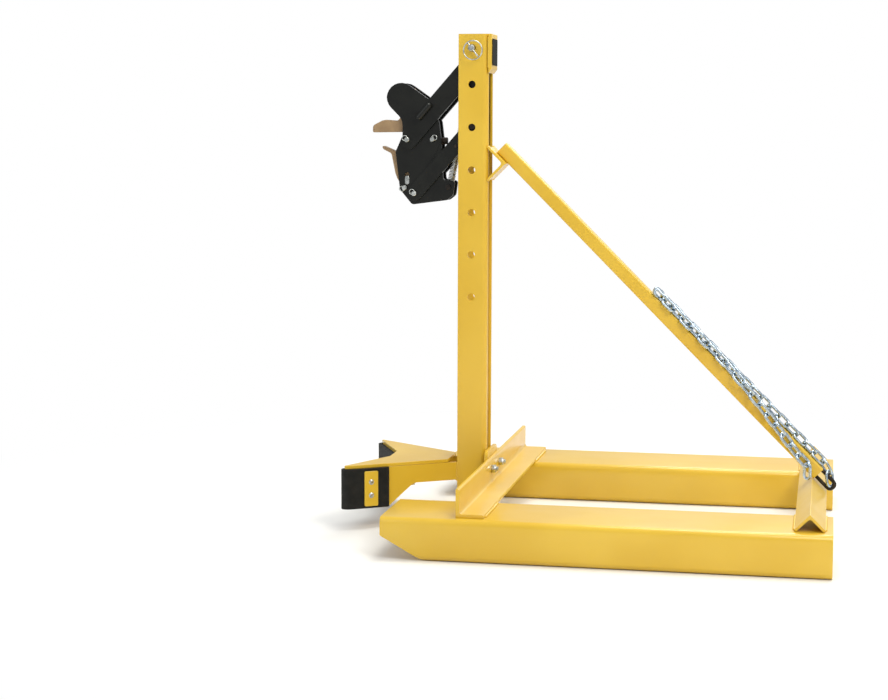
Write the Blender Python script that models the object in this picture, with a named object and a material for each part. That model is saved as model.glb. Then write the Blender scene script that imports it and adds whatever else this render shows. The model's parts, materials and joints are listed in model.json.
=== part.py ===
"""Fork-mounted drum lifter: two fork tubes, a mast, a belted cradle and a self-closing jaw head.

Every length below is in millimetres and every mesh is made in metres. The x axis points from the
drum towards the truck, the y axis across the forks, and z up. Inside the script x is counted from
the front of the mast; the root empty then moves the whole part so that its origin is the middle
of its footprint on the floor.
"""
import bpy
import bmesh
from math import acos, asin, atan2, cos, degrees, pi, radians, sin, sqrt, tan
from mathutils import Matrix, Vector

MM = 0.001
INCH = 25.4

# Clearances
SEAT = 0.3
RUN = 0.35
LAYER_GAP = 0.35

# Fork tubes
FORK_LENGTH = 31.0 * INCH
FORK_WIDTH = 7.0 * INCH
FORK_HEIGHT = 3.0 * INCH
FORK_WALL = 0.25 * INCH
FORK_CENTRES = 24.0 * INCH
FORK_CORNER = 11.0
FORK_FRONT_X = -69.3
FORK_NOSE_HEIGHT = 42.8
FORK_NOSE_RUN = 77.1

# Cross members
FRONT_ANGLE_LEG = 2.0 * INCH
FRONT_ANGLE_WALL = 0.25 * INCH
FRONT_ANGLE_LENGTH = 29.5 * INCH
REAR_ANGLE_LEG = 1.5 * INCH
REAR_ANGLE_WALL = 0.1875 * INCH
REAR_ANGLE_LENGTH = 29.0 * INCH
REAR_ANGLE_SETBACK = 39.6
ANGLE_ROOT = 5.0
TOE_SHARE = 0.45

# Mast
MAST_DEPTH = 2.25 * INCH
MAST_WIDTH = 2.5 * INCH
MAST_WALL = 0.1875 * INCH
MAST_LIP = 13.0
MAST_BEND = 10.0
MAST_BOTTOM = 2.0 * INCH
MAST_TOP = 937.0
HOLE_X = 26.2
HOLE_RADIUS = 7.15
TOP_HOLE_DROP = 26.7
FIRST_HOLE_STEP = 2.6875 * INCH
HOLE_PITCH = 3.1875 * INCH
LOWER_HOLES = 6
STRAP_HEIGHT = 66.0
STRAP_WALL = 0.25 * INCH
STRAP_CHAMFER = 8.0
DATA_PLATE_HEIGHT = 50.0
DATA_PLATE_WIDTH = 54.0
DATA_PLATE_WALL = 0.8

# Base plate and its bolts
BASE_PLATE_WIDTH = 4.25 * INCH
BASE_PLATE_WALL = 0.25 * INCH
BASE_PLATE_RISE = 14.0
BASE_PLATE_CORNER = 12.0
BASE_BOLT_Y = 41.5
BASE_BOLT_LIFT = 30.0
BASE_BOLT_RADIUS = 4.76
HEX_3_8 = 14.3
BOLT_HEAD = 6.0
BOLT_PAST_LEG = 13.0
NUT_HEIGHT = 8.0

# Brace
BRACKET_LEG = 1.75 * INCH
BRACKET_WALL = 0.1875 * INCH
BRACE_SIZE = 1.0 * INCH
BRACE_WALL = 3.0
BRACE_CORNER = 3.5
BRACE_START = -29.0
BRACE_PAST_RIDGE = 2.0

# Drum cradle
CRADLE_TOP = 122.0
CRADLE_WALL = 0.25 * INCH
CRADLE_TIP_X = -198.0
CRADLE_TIP_Y = 165.0
SADDLE_FLAT = 62.0
SADDLE_X = -134.0
SADDLE_HEIGHT = 3.0 * INCH
SIDE_WALL = 4.8
SIDE_HEIGHT_AT_MAST = 35.0
SIDE_STEP_FROM = 90.0
SIDE_STEP_TO = 141.0
TOP_PLATE_BACK = 15.7
BELT_WALL = 8.0
BELT_RETURN = 97.0
BELT_TIP_RADIUS = 4.0
CLAMP_FROM_TIP = 57.0
CLAMP_WIDTH = 27.0
CLAMP_HEIGHT = 67.0
CLAMP_WALL = 4.0
CLAMP_SCREW_PITCH = 1.0 * INCH
CLAMP_SCREW_RADIUS = 5.2

# Layers of the head across y
HEAD_PLATE_WALL = 0.25 * INCH
ARM_WALL = 0.25 * INCH
HEAD_INNER = 11.85

# Linkage: the four pivots of the parallelogram, in x and z
LOWER_GROUND = (HOLE_X, 763.0)
ARM_REACH = (-113.1, -128.6)
LINK_OFFSET = (-13.9, 103.1)
PIVOT_RADIUS = 6.35
CLEVIS_RADIUS = 4.76
UPPER_ARM_WIDTH = 1.5 * INCH
LOWER_ARM_WIDTH = 1.125 * INCH

# Carriage inside the mast
CARRIAGE_FRONT = 3.0
CARRIAGE_BACK = 48.0
CARRIAGE_BOTTOM = 747.0
CARRIAGE_TOP = 930.0
SPRING_TOP_ANCHOR = (16.0, 826.0)

# Springs
SPRING_RADIUS = 6.2
SPRING_WIRE = 0.95
SPRING_HOOK = 11.0
SPRING_PIN_RADIUS = 3.0
SPRING_PIN_ALONG_ARM = 50.3
SPRING_LOW_ANCHOR = (-21.5, 647.0)

# Height pin and its ring
PIN_RADIUS = 6.35
PIN_OVERHANG_NEAR = 11.0
PIN_OVERHANG_FAR = 6.0
LOCK_LEG_RADIUS = 1.7
LOCK_LEG_LENGTH = 33.0
LOCK_LEG_STANDOFF = 6.0
LOCK_RING_RADIUS = 17.8
LOCK_RING_WIRE = 1.5
LOCK_LEG_SLOPE = 38.0

# Chain on the brace
CHAIN_WIRE = 4.0
CHAIN_INNER_HALF = 14.0
CHAIN_HALF_WIDTH = 10.0
CHAIN_PITCH = 29.3
CHAIN_LINKS = 17
ANCHOR_WIRE = 4.0
ANCHOR_REACH = 38.4
ANCHOR_LOW = 4.0
ANCHOR_HIGH = 22.3

ROUND = 16


def clear_scene():
    """Remove whatever the open file holds."""
    for old in list(bpy.data.objects):
        bpy.data.objects.remove(old, do_unlink=True)


def paint(name, colour, roughness, metallic=0.0):
    """One Principled material."""
    material = bpy.data.materials.new(name)
    material.use_nodes = True
    shader = material.node_tree.nodes["Principled BSDF"]
    shader.inputs["Base Color"].default_value = (*colour, 1.0)
    shader.inputs["Roughness"].default_value = roughness
    shader.inputs["Metallic"].default_value = metallic
    material.diffuse_color = (*colour, 1.0)
    return material


clear_scene()
YELLOW = paint("yellow_enamel", (0.80, 0.47, 0.03), 0.4)
BLACK = paint("black_enamel", (0.02, 0.02, 0.018), 0.4)
ZINC = paint("zinc_plate", (0.62, 0.64, 0.62), 0.3, 1.0)
CHAIN_ZINC = paint("bright_zinc_chain", (0.66, 0.70, 0.74), 0.25, 1.0)
TAN = paint("tan_urethane", (0.38, 0.25, 0.14), 0.6)
RUBBER = paint("black_belting", (0.015, 0.015, 0.014), 0.8)
DARK_STEEL = paint("black_oxide_steel", (0.05, 0.045, 0.04), 0.45, 0.8)

ROOT = bpy.data.objects.new("root", None)
bpy.context.collection.objects.link(ROOT)


def empty_at(name, x, z, parent, y=0.0):
    """An empty on a joint's axis. The parent sits at its own stated place."""
    empty = bpy.data.objects.new(name, None)
    bpy.context.collection.objects.link(empty)
    empty.parent = parent
    empty.location = Vector((x, y, z)) * MM - PLACES.get(parent.name, Vector())
    PLACES[name] = Vector((x, y, z)) * MM
    return empty


PLACES = {"root": Vector()}


def put(name, bm, material, parent=ROOT, smooth=False, place=None):
    """Close the bmesh, turn its faces outwards and give it to a named object on its parent.

    The mesh is written in part coordinates and moved to the parent's place, or to the place given.
    """
    bmesh.ops.remove_doubles(bm, verts=bm.verts, dist=1e-7)
    bmesh.ops.recalc_face_normals(bm, faces=bm.faces)
    here = PLACES[parent.name] if place is None else Vector(place) * MM
    bmesh.ops.translate(bm, verts=bm.verts, vec=-here)
    mesh = bpy.data.meshes.new(name)
    bm.to_mesh(mesh)
    bm.free()
    mesh.materials.append(material)
    if smooth:
        mesh.shade_smooth()
        mesh.set_sharp_from_angle(angle=radians(35))
    obj = bpy.data.objects.new(name, mesh)
    bpy.context.collection.objects.link(obj)
    obj.parent = parent
    obj.location = here - PLACES[parent.name]
    return obj


def circle(cx, cy, radius, count=ROUND, start=0.0):
    """Points of a circle in a plane."""
    return [(cx + radius * cos(start + 2 * pi * i / count),
             cy + radius * sin(start + 2 * pi * i / count)) for i in range(count)]


def rounded(corners, step=24.0):
    """A closed outline from corners (a, b, radius), each corner turned by an arc."""
    points = []
    total = len(corners)
    for i, (a, b, radius) in enumerate(corners):
        corner = Vector((a, b))
        before = (Vector(corners[i - 1][:2]) - corner)
        after = (Vector(corners[(i + 1) % total][:2]) - corner)
        to_before = before.normalized()
        to_after = after.normalized()
        half = acos(max(-1.0, min(1.0, to_before.dot(to_after)))) / 2
        if radius <= 0 or half > radians(89.5):
            points.append((a, b))
            continue
        reach = min(radius / tan(half), 0.98 * before.length, 0.98 * after.length)
        radius = reach * tan(half)
        centre = corner + (to_before + to_after).normalized() * radius / sin(half)
        first = corner + to_before * reach - centre
        last = corner + to_after * reach - centre
        turn = atan2(first.x * last.y - first.y * last.x, first.dot(last))
        pieces = max(1, round(abs(degrees(turn)) / step))
        for k in range(pieces + 1):
            angle = turn * k / pieces
            points.append((centre.x + first.x * cos(angle) - first.y * sin(angle),
                           centre.y + first.x * sin(angle) + first.y * cos(angle)))
    return points


def slot_outline(cx, cz, radius, half_length, count=6):
    """An upright slot with round ends."""
    top = [(cx + radius * cos(pi * i / count), cz + half_length + radius * sin(pi * i / count))
           for i in range(count + 1)]
    low = [(cx - radius * cos(pi * i / count), cz - half_length - radius * sin(pi * i / count))
           for i in range(count + 1)]
    return top + low


def prism(loops, lift, along):
    """Fill flat loops, the first the outline and the others holes, and extrude them.

    lift turns a loop's two numbers into a point, along is the extrusion. Both are in millimetres.
    """
    bm = bmesh.new()
    edges = []
    for loop in loops:
        verts = [bm.verts.new(Vector(lift(a, b)) * MM) for a, b in loop]
        edges += [bm.edges.new((verts[i - 1], verts[i])) for i in range(len(verts))]
    bmesh.ops.triangle_fill(bm, use_beauty=True, use_dissolve=False, edges=edges)
    made = bmesh.ops.extrude_face_region(bm, geom=list(bm.faces))
    moved = [v for v in made["geom"] if isinstance(v, bmesh.types.BMVert)]
    bmesh.ops.translate(bm, verts=moved, vec=Vector(along) * MM)
    return bm


def plate_xz(outline, y_low, y_high, holes=()):
    """A flat plate standing in the x-z plane."""
    return prism([outline, *holes], lambda a, b: (a, y_low, b), (0, y_high - y_low, 0))


def plate_xy(outline, z_low, z_high, holes=()):
    """A flat plate lying in the x-y plane, or a section carried up z."""
    return prism([outline, *holes], lambda a, b: (a, b, z_low), (0, 0, z_high - z_low))


def plate_yz(outline, x_low, x_high, holes=()):
    """A flat plate facing along x."""
    return prism([outline, *holes], lambda a, b: (x_low, a, b), (x_high - x_low, 0, 0))


def turned(stations, centre, axis="y", count=ROUND):
    """A turned piece: rings of (place along the axis, radius) round a centre, both ends capped."""
    bm = bmesh.new()
    rings = []
    for place, radius in stations:
        ring = []
        for a, b in circle(0, 0, radius, count, pi / count):
            point = {"y": (centre[0] + a, place, centre[1] + b),
                     "x": (place, centre[0] + a, centre[1] + b)}[axis]
            ring.append(bm.verts.new(Vector(point) * MM))
        rings.append(ring)
    for low, high in zip(rings, rings[1:]):
        for i in range(count):
            bm.faces.new((low[i - 1], low[i], high[i], high[i - 1]))
    bm.faces.new(rings[0])
    bm.faces.new(list(reversed(rings[-1])))
    return bm


def hexagon(across_flats, cx, cz):
    """A hexagon from its size across flats."""
    return circle(cx, cz, across_flats / sqrt(3.0), 6)


def join(*pieces):
    """Put several closed bodies into one bmesh."""
    whole = bmesh.new()
    for piece in pieces:
        shell = bpy.data.meshes.new("piece")
        piece.to_mesh(shell)
        piece.free()
        whole.from_mesh(shell)
        bpy.data.meshes.remove(shell)
    return whole


def swept(points, radius, sides=6, closed=False, spin=0.0):
    """A round wire carried along a path, with its section kept from twisting."""
    bm = bmesh.new()
    count = len(points)
    path = [Vector(p) for p in points]
    tangents = []
    for i in range(count):
        ahead = path[(i + 1) % count] if closed or i + 1 < count else path[i]
        behind = path[i - 1] if closed or i > 0 else path[i]
        tangents.append((ahead - behind).normalized())
    side = tangents[0].orthogonal().normalized()
    rings = []
    for point, tangent in zip(path, tangents):
        side = (side - tangent * side.dot(tangent)).normalized()
        other = tangent.cross(side)
        ring = []
        for k in range(sides):
            angle = spin + 2 * pi * k / sides
            ring.append(bm.verts.new((point + (side * cos(angle) + other * sin(angle)) * radius) * MM))
        rings.append(ring)
    shift = 0
    if closed:
        first = rings[0][0].co
        shift = min(range(sides), key=lambda k: (rings[-1][k].co - first).length)
    pairs = list(zip(rings, rings[1:]))
    for low, high in pairs:
        for k in range(sides):
            bm.faces.new((low[k - 1], low[k], high[k], high[k - 1]))
    if closed:
        low = rings[-1][shift:] + rings[-1][:shift]
        for k in range(sides):
            bm.faces.new((low[k - 1], low[k], rings[0][k], rings[0][k - 1]))
    else:
        bm.faces.new(list(reversed(rings[0])))
        bm.faces.new(rings[-1])
    return bm


def both_sides(low, high):
    """The near and far stretch of y of a layer that lies from low to high off the middle."""
    return {"near": (-high, -low), "far": (low, high)}


# Fork tubes: a rounded hollow section whose lower front corner is cut away.
def fork_tube(name, y_middle):
    half = FORK_WIDTH / 2
    nose = FORK_NOSE_HEIGHT

    def section(inset, corner):
        low, high = inset, FORK_HEIGHT - inset
        right, left = half - inset, -half + inset
        return rounded([(right, low, corner), (right, nose, 0), (right, high, corner),
                        (left, high, corner), (left, nose, 0), (left, low, corner)])

    outer = section(0.0, FORK_CORNER)
    inner = section(FORK_WALL, FORK_CORNER - FORK_WALL)

    def front(z):
        return FORK_FRONT_X + max(0.0, (nose - z) / nose) * FORK_NOSE_RUN

    bm = bmesh.new()
    loops = []
    for loop, at_front in ((outer, True), (inner, True), (inner, False), (outer, False)):
        loops.append([bm.verts.new(Vector((front(z) if at_front else FORK_FRONT_X + FORK_LENGTH,
                                           y_middle + y, z)) * MM) for y, z in loop])
    for k in range(4):
        low, high = loops[k], loops[(k + 1) % 4]
        for i in range(len(low)):
            bm.faces.new((low[i - 1], low[i], high[i], high[i - 1]))
    put(name, bm, YELLOW, smooth=True)


fork_tube("near_fork_tube", -FORK_CENTRES / 2)
fork_tube("far_fork_tube", FORK_CENTRES / 2)


# Rolled angles: an L section, set on its legs or on its toes.
def angle_section(leg, wall):
    """An L with its heel at the origin, its legs along the two axes, a round root and toes."""
    toe = TOE_SHARE * wall
    return rounded([(0, 0, 0), (leg, 0, 0), (leg, wall, toe), (wall, wall, ANGLE_ROOT),
                    (wall, leg, toe), (0, leg, 0)], 30)


def height_on_toes(leg, wall):
    """How high the heel stands when the angle rests on the round edges of its two legs."""
    return (leg + wall - TOE_SHARE * wall * (sqrt(2.0) - 1)) / sqrt(2.0)


ANGLE_FRONT_X = MAST_DEPTH + SEAT + BASE_PLATE_WALL + SEAT
DECK = FORK_HEIGHT + SEAT

front_outline = [(ANGLE_FRONT_X + a, DECK + b)
                 for a, b in angle_section(FRONT_ANGLE_LEG, FRONT_ANGLE_WALL)]
front_angle = put("front_cross_angle",
                  plate_xz(front_outline, -FRONT_ANGLE_LENGTH / 2, FRONT_ANGLE_LENGTH / 2), YELLOW)

RIDGE_X = FORK_FRONT_X + FORK_LENGTH - REAR_ANGLE_SETBACK
RIDGE_Z = DECK + height_on_toes(REAR_ANGLE_LEG, REAR_ANGLE_WALL)


def ridge_outline(leg, wall, x, z, turn):
    """An angle section with its heel at (x, z), turned so that both legs lean 45 degrees."""
    return [(x + a * cos(turn) - b * sin(turn), z + a * sin(turn) + b * cos(turn))
            for a, b in angle_section(leg, wall)]


put("rear_cross_angle",
    plate_xz(ridge_outline(REAR_ANGLE_LEG, REAR_ANGLE_WALL, RIDGE_X, RIDGE_Z, radians(-135)),
             -REAR_ANGLE_LENGTH / 2, REAR_ANGLE_LENGTH / 2), YELLOW)

# Mast: two formed rails with returned lips at the back, joined by the strap and the brackets.
HALF_MAST = MAST_WIDTH / 2
PIN_Z = MAST_TOP - TOP_HOLE_DROP
HOLE_HEIGHTS = [PIN_Z] + [PIN_Z - FIRST_HOLE_STEP - HOLE_PITCH * i for i in range(LOWER_HOLES)]


def rail_outline(side):
    inner = MAST_BEND - MAST_WALL
    corners = [(0, HALF_MAST, 1.0), (MAST_DEPTH, HALF_MAST, MAST_BEND),
               (MAST_DEPTH, HALF_MAST - MAST_LIP, 1.0),
               (MAST_DEPTH - MAST_WALL, HALF_MAST - MAST_LIP, 1.0),
               (MAST_DEPTH - MAST_WALL, HALF_MAST - MAST_WALL, inner),
               (0, HALF_MAST - MAST_WALL, 1.0)]
    return rounded([(x, side * y, r) for x, y, r in corners], 18)


hole_cutter = join(*[turned([(-2 * HALF_MAST, HOLE_RADIUS), (2 * HALF_MAST, HOLE_RADIUS)],
                            (HOLE_X, z), count=20) for z in HOLE_HEIGHTS])
hole_tool = put("hole_tool", hole_cutter, ZINC)
hole_tool.hide_render = True
hole_tool.display_type = "WIRE"


def cut(obj, tool):
    """Take the tool's shape out of an object."""
    trim = obj.modifiers.new("cut", "BOOLEAN")
    trim.operation = "DIFFERENCE"
    trim.solver = "EXACT"
    trim.object = tool


for name, side in (("mast_near_rail", -1), ("mast_far_rail", 1)):
    rail = put(name, plate_xy(rail_outline(side), MAST_BOTTOM, MAST_TOP), YELLOW, smooth=True)
    cut(rail, hole_tool)

# Strap across the open back of the mast's top, with a blank riveted plate.
STRAP_X = MAST_DEPTH + SEAT
strap_low = MAST_TOP - STRAP_HEIGHT
strap_outline = rounded([(STRAP_X, strap_low - STRAP_CHAMFER, 0),
                         (STRAP_X + STRAP_WALL, strap_low, 1.5),
                         (STRAP_X + STRAP_WALL, MAST_TOP, 0.8), (STRAP_X, MAST_TOP, 0)], 30)
put("mast_top_strap", plate_xz(strap_outline, -HALF_MAST, HALF_MAST), YELLOW)

DATA_X = STRAP_X + STRAP_WALL + SEAT
DATA_Z = MAST_TOP - STRAP_HEIGHT / 2 - 1.0
half_w = DATA_PLATE_WIDTH / 2
half_h = DATA_PLATE_HEIGHT / 2
data_outline = rounded([(y, DATA_Z + z, 3.0) for y, z in
                        ((-half_w, -half_h), (half_w, -half_h), (half_w, half_h), (-half_w, half_h))])
put("blank_data_plate", plate_yz(data_outline, DATA_X, DATA_X + DATA_PLATE_WALL), BLACK)

# Base plate that closes the foot of the mast and bolts to the front angle.
BASE_X = MAST_DEPTH + SEAT
BASE_TOP = DECK + FRONT_ANGLE_LEG + BASE_PLATE_RISE
BOLT_Z = DECK + BASE_BOLT_LIFT
half_b = BASE_PLATE_WIDTH / 2
base_outline = rounded([(-half_b, MAST_BOTTOM, 4.0), (half_b, MAST_BOTTOM, 4.0),
                        (half_b, BASE_TOP, BASE_PLATE_CORNER), (-half_b, BASE_TOP, BASE_PLATE_CORNER)])
bolt_places = [(-BASE_BOLT_Y, BOLT_Z), (BASE_BOLT_Y, BOLT_Z)]
BOLT_HOLE = BASE_BOLT_RADIUS + SEAT
base_holes = [circle(y, z, BOLT_HOLE, 12, pi / 12) for y, z in bolt_places]
put("mast_base_plate", plate_yz(base_outline, BASE_X, BASE_X + BASE_PLATE_WALL, base_holes), YELLOW)

angle_drill = join(*[turned([(ANGLE_FRONT_X - 5, BOLT_HOLE), (ANGLE_FRONT_X + 15, BOLT_HOLE)],
                            place, "x", 12) for place in bolt_places])
drill_tool = put("drill_tool", angle_drill, ZINC)
drill_tool.hide_render = True
drill_tool.display_type = "WIRE"
cut(front_angle, drill_tool)


LEG_BACK = ANGLE_FRONT_X + FRONT_ANGLE_WALL


def hex_bolt(name, place, head_x, tip_x):
    """A hex bolt along x: its head in front of head_x, its shank on to tip_x."""
    y, z = place
    bm = bmesh.new()

    def ring(points, x):
        return [bm.verts.new(Vector((x, a, b)) * MM) for a, b in points]

    outline = hexagon(HEX_3_8, y, z)
    head = [ring(outline, head_x - BOLT_HEAD), ring(outline, head_x)]
    shank = [ring(circle(y, z, r, 12, pi / 12), x)
             for x, r in ((head_x, BASE_BOLT_RADIUS), (tip_x - 1.2, BASE_BOLT_RADIUS),
                          (tip_x, BASE_BOLT_RADIUS - 1.0))]
    for low, high in ((head[0], head[1]), (shank[0], shank[1]), (shank[1], shank[2])):
        for i in range(len(low)):
            bm.faces.new((low[i - 1], low[i], high[i], high[i - 1]))
    bm.faces.new(head[0])
    bm.faces.new(shank[2])
    rim = [bm.edges.get((loop[i - 1], loop[i])) for loop in (head[1], shank[0])
           for i in range(len(loop))]
    bmesh.ops.triangle_fill(bm, use_beauty=True, edges=rim)
    put(name, bm, ZINC)


for side, place in zip(("near", "far"), bolt_places):
    hex_bolt(f"base_bolt_{side}", place, BASE_X - SEAT, LEG_BACK + BOLT_PAST_LEG)
    put(f"base_nut_{side}",
        plate_yz(hexagon(HEX_3_8, *place), LEG_BACK + SEAT, LEG_BACK + SEAT + NUT_HEIGHT,
                 [circle(*place, BOLT_HOLE, 12, pi / 12)]), ZINC)

# Brace: a V bracket on the mast and a square tube down to the rear angle's ridge, at 45 degrees.
BRACKET_X = MAST_DEPTH + SEAT + height_on_toes(BRACKET_LEG, BRACKET_WALL)
BRACKET_Z = RIDGE_Z + RIDGE_X - BRACKET_X
put("brace_bracket",
    plate_xz(ridge_outline(BRACKET_LEG, BRACKET_WALL, BRACKET_X, BRACKET_Z, radians(135)),
             -HALF_MAST, HALF_MAST), YELLOW)

BRACE_RUN = (RIDGE_X - BRACKET_X) * sqrt(2.0)
BRACE_END = BRACE_RUN + BRACE_PAST_RIDGE
DOWN = Vector((1, 0, -1)).normalized()
OUT = Vector((1, 0, 1)).normalized()


def on_brace(along, out, y=0.0):
    """A point by its distance down the brace's lower face, its height off it and its y."""
    return Vector((BRACKET_X, y, BRACKET_Z)) + DOWN * along + OUT * out


def square_tube(name):
    half = BRACE_SIZE / 2

    def section(inset, corner):
        h = half - inset
        return rounded([(-h, -h, corner), (h, -h, corner), (h, h, corner), (-h, h, corner)], 30)

    outer = section(0.0, BRACE_CORNER)
    inner = section(BRACE_WALL, BRACE_CORNER - BRACE_WALL + 0.4)
    bm = bmesh.new()
    loops = [[bm.verts.new(on_brace(along, half + SEAT + b, a) * MM) for a, b in loop]
             for loop, along in ((outer, BRACE_START), (inner, BRACE_START),
                                 (inner, BRACE_END), (outer, BRACE_END))]
    for k in range(4):
        low, high = loops[k], loops[(k + 1) % 4]
        for i in range(len(low)):
            bm.faces.new((low[i - 1], low[i], high[i], high[i - 1]))
    put(name, bm, YELLOW, smooth=True)


square_tube("brace_tube")

# Cradle: a top plate, two side walls, a bent saddle and its belt.
CRADLE_FOOT = Vector((-SEAT, HALF_MAST))
CRADLE_TIP = Vector((CRADLE_TIP_X, CRADLE_TIP_Y))
WALL_ALONG = (CRADLE_TIP - CRADLE_FOOT).normalized()
WALL_LENGTH = (CRADLE_TIP - CRADLE_FOOT).length
SADDLE_CORNER = Vector((SADDLE_X, SADDLE_FLAT / 2))
WING_ALONG = (CRADLE_TIP - SADDLE_CORNER).normalized()
PLATE_LOW = CRADLE_TOP - CRADLE_WALL
SADDLE_TOP = PLATE_LOW - SEAT
SADDLE_LOW = SADDLE_TOP - SADDLE_HEIGHT

back_share = TOP_PLATE_BACK / -WALL_ALONG.x
back_corner = CRADLE_FOOT + WALL_ALONG * back_share
top_outline = rounded([(CRADLE_TIP.x, -CRADLE_TIP.y, 3.0), (back_corner.x, -back_corner.y, 1.0),
                       (back_corner.x, back_corner.y, 1.0), (CRADLE_TIP.x, CRADLE_TIP.y, 3.0),
                       (SADDLE_CORNER.x, SADDLE_CORNER.y, 4.0),
                       (SADDLE_CORNER.x, -SADDLE_CORNER.y, 4.0)], 45)
put("cradle_top_plate", plate_xy(top_outline, PLATE_LOW, CRADLE_TOP), YELLOW)


def offset_path(path, distance):
    """The path moved sideways, to the left of its run, with mitred corners."""
    moved = []
    for i, point in enumerate(path):
        before = (point - path[i - 1]).normalized() if i > 0 else None
        after = (path[i + 1] - point).normalized() if i + 1 < len(path) else None
        if before is None or after is None:
            run = after if before is None else before
            moved.append(point + Vector((-run.y, run.x)) * distance)
            continue
        left = Vector((-before.y, before.x)) + Vector((-after.y, after.x))
        left.normalize()
        moved.append(point + left * distance / left.dot(Vector((-before.y, before.x))))
    return moved


def strip(path, low, high, radii):
    """A closed outline of a strip along a path, from low to high off it, with round bends."""
    inner = offset_path(path, low)
    outer = offset_path(path, high)
    corners = [(p.x, p.y, max(0.0, r + (low if t > 0 else -low)))
               for p, (r, t) in zip(inner, radii)]
    corners += [(p.x, p.y, max(0.0, r + (high if t > 0 else -high)))
                for p, (r, t) in reversed(list(zip(outer, radii)))]
    return rounded(corners, 20)


def mirrored(points):
    """Points on the near side mirrored to the far side, in reverse order."""
    return [Vector((p.x, -p.y)) for p in reversed(points)]


near_tip = Vector((CRADLE_TIP.x, -CRADLE_TIP.y))
near_corner = Vector((SADDLE_CORNER.x, -SADDLE_CORNER.y))
near_along = Vector((WALL_ALONG.x, -WALL_ALONG.y))
near_foot = Vector((CRADLE_FOOT.x, -CRADLE_FOOT.y))
wing_along = Vector((WING_ALONG.x, -WING_ALONG.y))

WEDGE = acos(max(-1.0, min(1.0, WALL_ALONG.dot(WING_ALONG))))
TIP_INSET = (BELT_TIP_RADIUS + SEAT) / tan(WEDGE / 2) + 3.0
saddle_half = [near_tip - wing_along * TIP_INSET, near_corner]
saddle_path = saddle_half + mirrored(saddle_half)
put("cradle_saddle",
    plate_xy(strip(saddle_path, -CRADLE_WALL, 0.0, [(0, 1), (5, -1), (5, -1), (0, 1)]),
             SADDLE_LOW, SADDLE_TOP), YELLOW)

belt_half = [near_tip - near_along * BELT_RETURN, near_tip, near_corner]
belt_path = belt_half + mirrored(belt_half)
belt_outline = strip(belt_path, SEAT, SEAT + BELT_WALL,
                     [(0, 1), (BELT_TIP_RADIUS, 1), (16, -1), (16, -1), (BELT_TIP_RADIUS, 1), (0, 1)])
put("cradle_belt", plate_xy(belt_outline, SADDLE_LOW, SADDLE_TOP), RUBBER, smooth=True)

# Side walls: deep under the belt, stepped up to a shallow web at the mast.
WALL_STOP = WALL_LENGTH - (CRADLE_WALL + SIDE_WALL + 2 * SEAT) / tan(WEDGE) - 3.0
wall_outline = rounded([(0, SADDLE_TOP, 0), (WALL_STOP, SADDLE_TOP, 0), (WALL_STOP, SADDLE_LOW, 3),
                        (SIDE_STEP_TO, SADDLE_LOW, 4), (SIDE_STEP_FROM, SADDLE_TOP - SIDE_HEIGHT_AT_MAST, 8),
                        (0, SADDLE_TOP - SIDE_HEIGHT_AT_MAST, 0)])


def side_frame(side):
    """Along the wall from the mast, and outwards from it, in plan."""
    along = Vector((WALL_ALONG.x, side * WALL_ALONG.y, 0))
    outward = Vector((WALL_ALONG.y, side * -WALL_ALONG.x, 0))
    foot = Vector((CRADLE_FOOT.x, side * CRADLE_FOOT.y, 0))
    return foot, along, outward


for name, side in (("cradle_near_wall", -1), ("cradle_far_wall", 1)):
    foot, along, outward = side_frame(side)
    wall = prism([wall_outline],
                 lambda s, z, f=foot, a=along, o=outward: f + a * s - o * SIDE_WALL + Vector((0, 0, z)),
                 outward * SIDE_WALL)
    put(name, wall, YELLOW)

# Clamp strips that hold the belt's ends, each with two screws.
clamp_middle = WALL_LENGTH - CLAMP_FROM_TIP
clamp_z = (SADDLE_TOP + SADDLE_LOW) / 2
for name, side in (("near_belt_clamp", -1), ("far_belt_clamp", 1)):
    foot, along, outward = side_frame(side)
    face = BELT_WALL + 2 * SEAT
    half_c = CLAMP_WIDTH / 2
    outline = rounded([(clamp_middle - half_c, clamp_z - CLAMP_HEIGHT / 2, 2.5),
                       (clamp_middle + half_c, clamp_z - CLAMP_HEIGHT / 2, 2.5),
                       (clamp_middle + half_c, clamp_z + CLAMP_HEIGHT / 2, 2.5),
                       (clamp_middle - half_c, clamp_z + CLAMP_HEIGHT / 2, 2.5)])
    clamp = prism([outline],
                  lambda s, z, f=foot, a=along, o=outward: f + a * s + o * face + Vector((0, 0, z)),
                  outward * CLAMP_WALL)
    put(name, clamp, YELLOW)
    for level, dz in (("low", -CLAMP_SCREW_PITCH / 2), ("high", CLAMP_SCREW_PITCH / 2)):
        base = foot + along * clamp_middle + Vector((0, 0, clamp_z + dz))
        lift = face + CLAMP_WALL + SEAT
        bm = bmesh.new()
        rings = []
        for rise, radius in ((0.0, CLAMP_SCREW_RADIUS), (1.6, CLAMP_SCREW_RADIUS * 0.92),
                             (2.8, CLAMP_SCREW_RADIUS * 0.6)):
            rings.append([bm.verts.new((base + outward * (lift + rise) + along * a
                                        + Vector((0, 0, b))) * MM)
                          for a, b in circle(0, 0, radius, 12)])
        for low, high in zip(rings, rings[1:]):
            for i in range(12):
                bm.faces.new((low[i - 1], low[i], high[i], high[i - 1]))
        bm.faces.new(rings[0])
        bm.faces.new(rings[-1])
        put(f"{name}_{level}_screw", bm, ZINC, smooth=True)

# Layers across y: head plates and carriage plates inside, arms outside them.
HEAD_OUTER = HEAD_INNER + HEAD_PLATE_WALL
ARM_INNER = HEAD_OUTER + LAYER_GAP
ARM_OUTER = ARM_INNER + ARM_WALL

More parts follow.
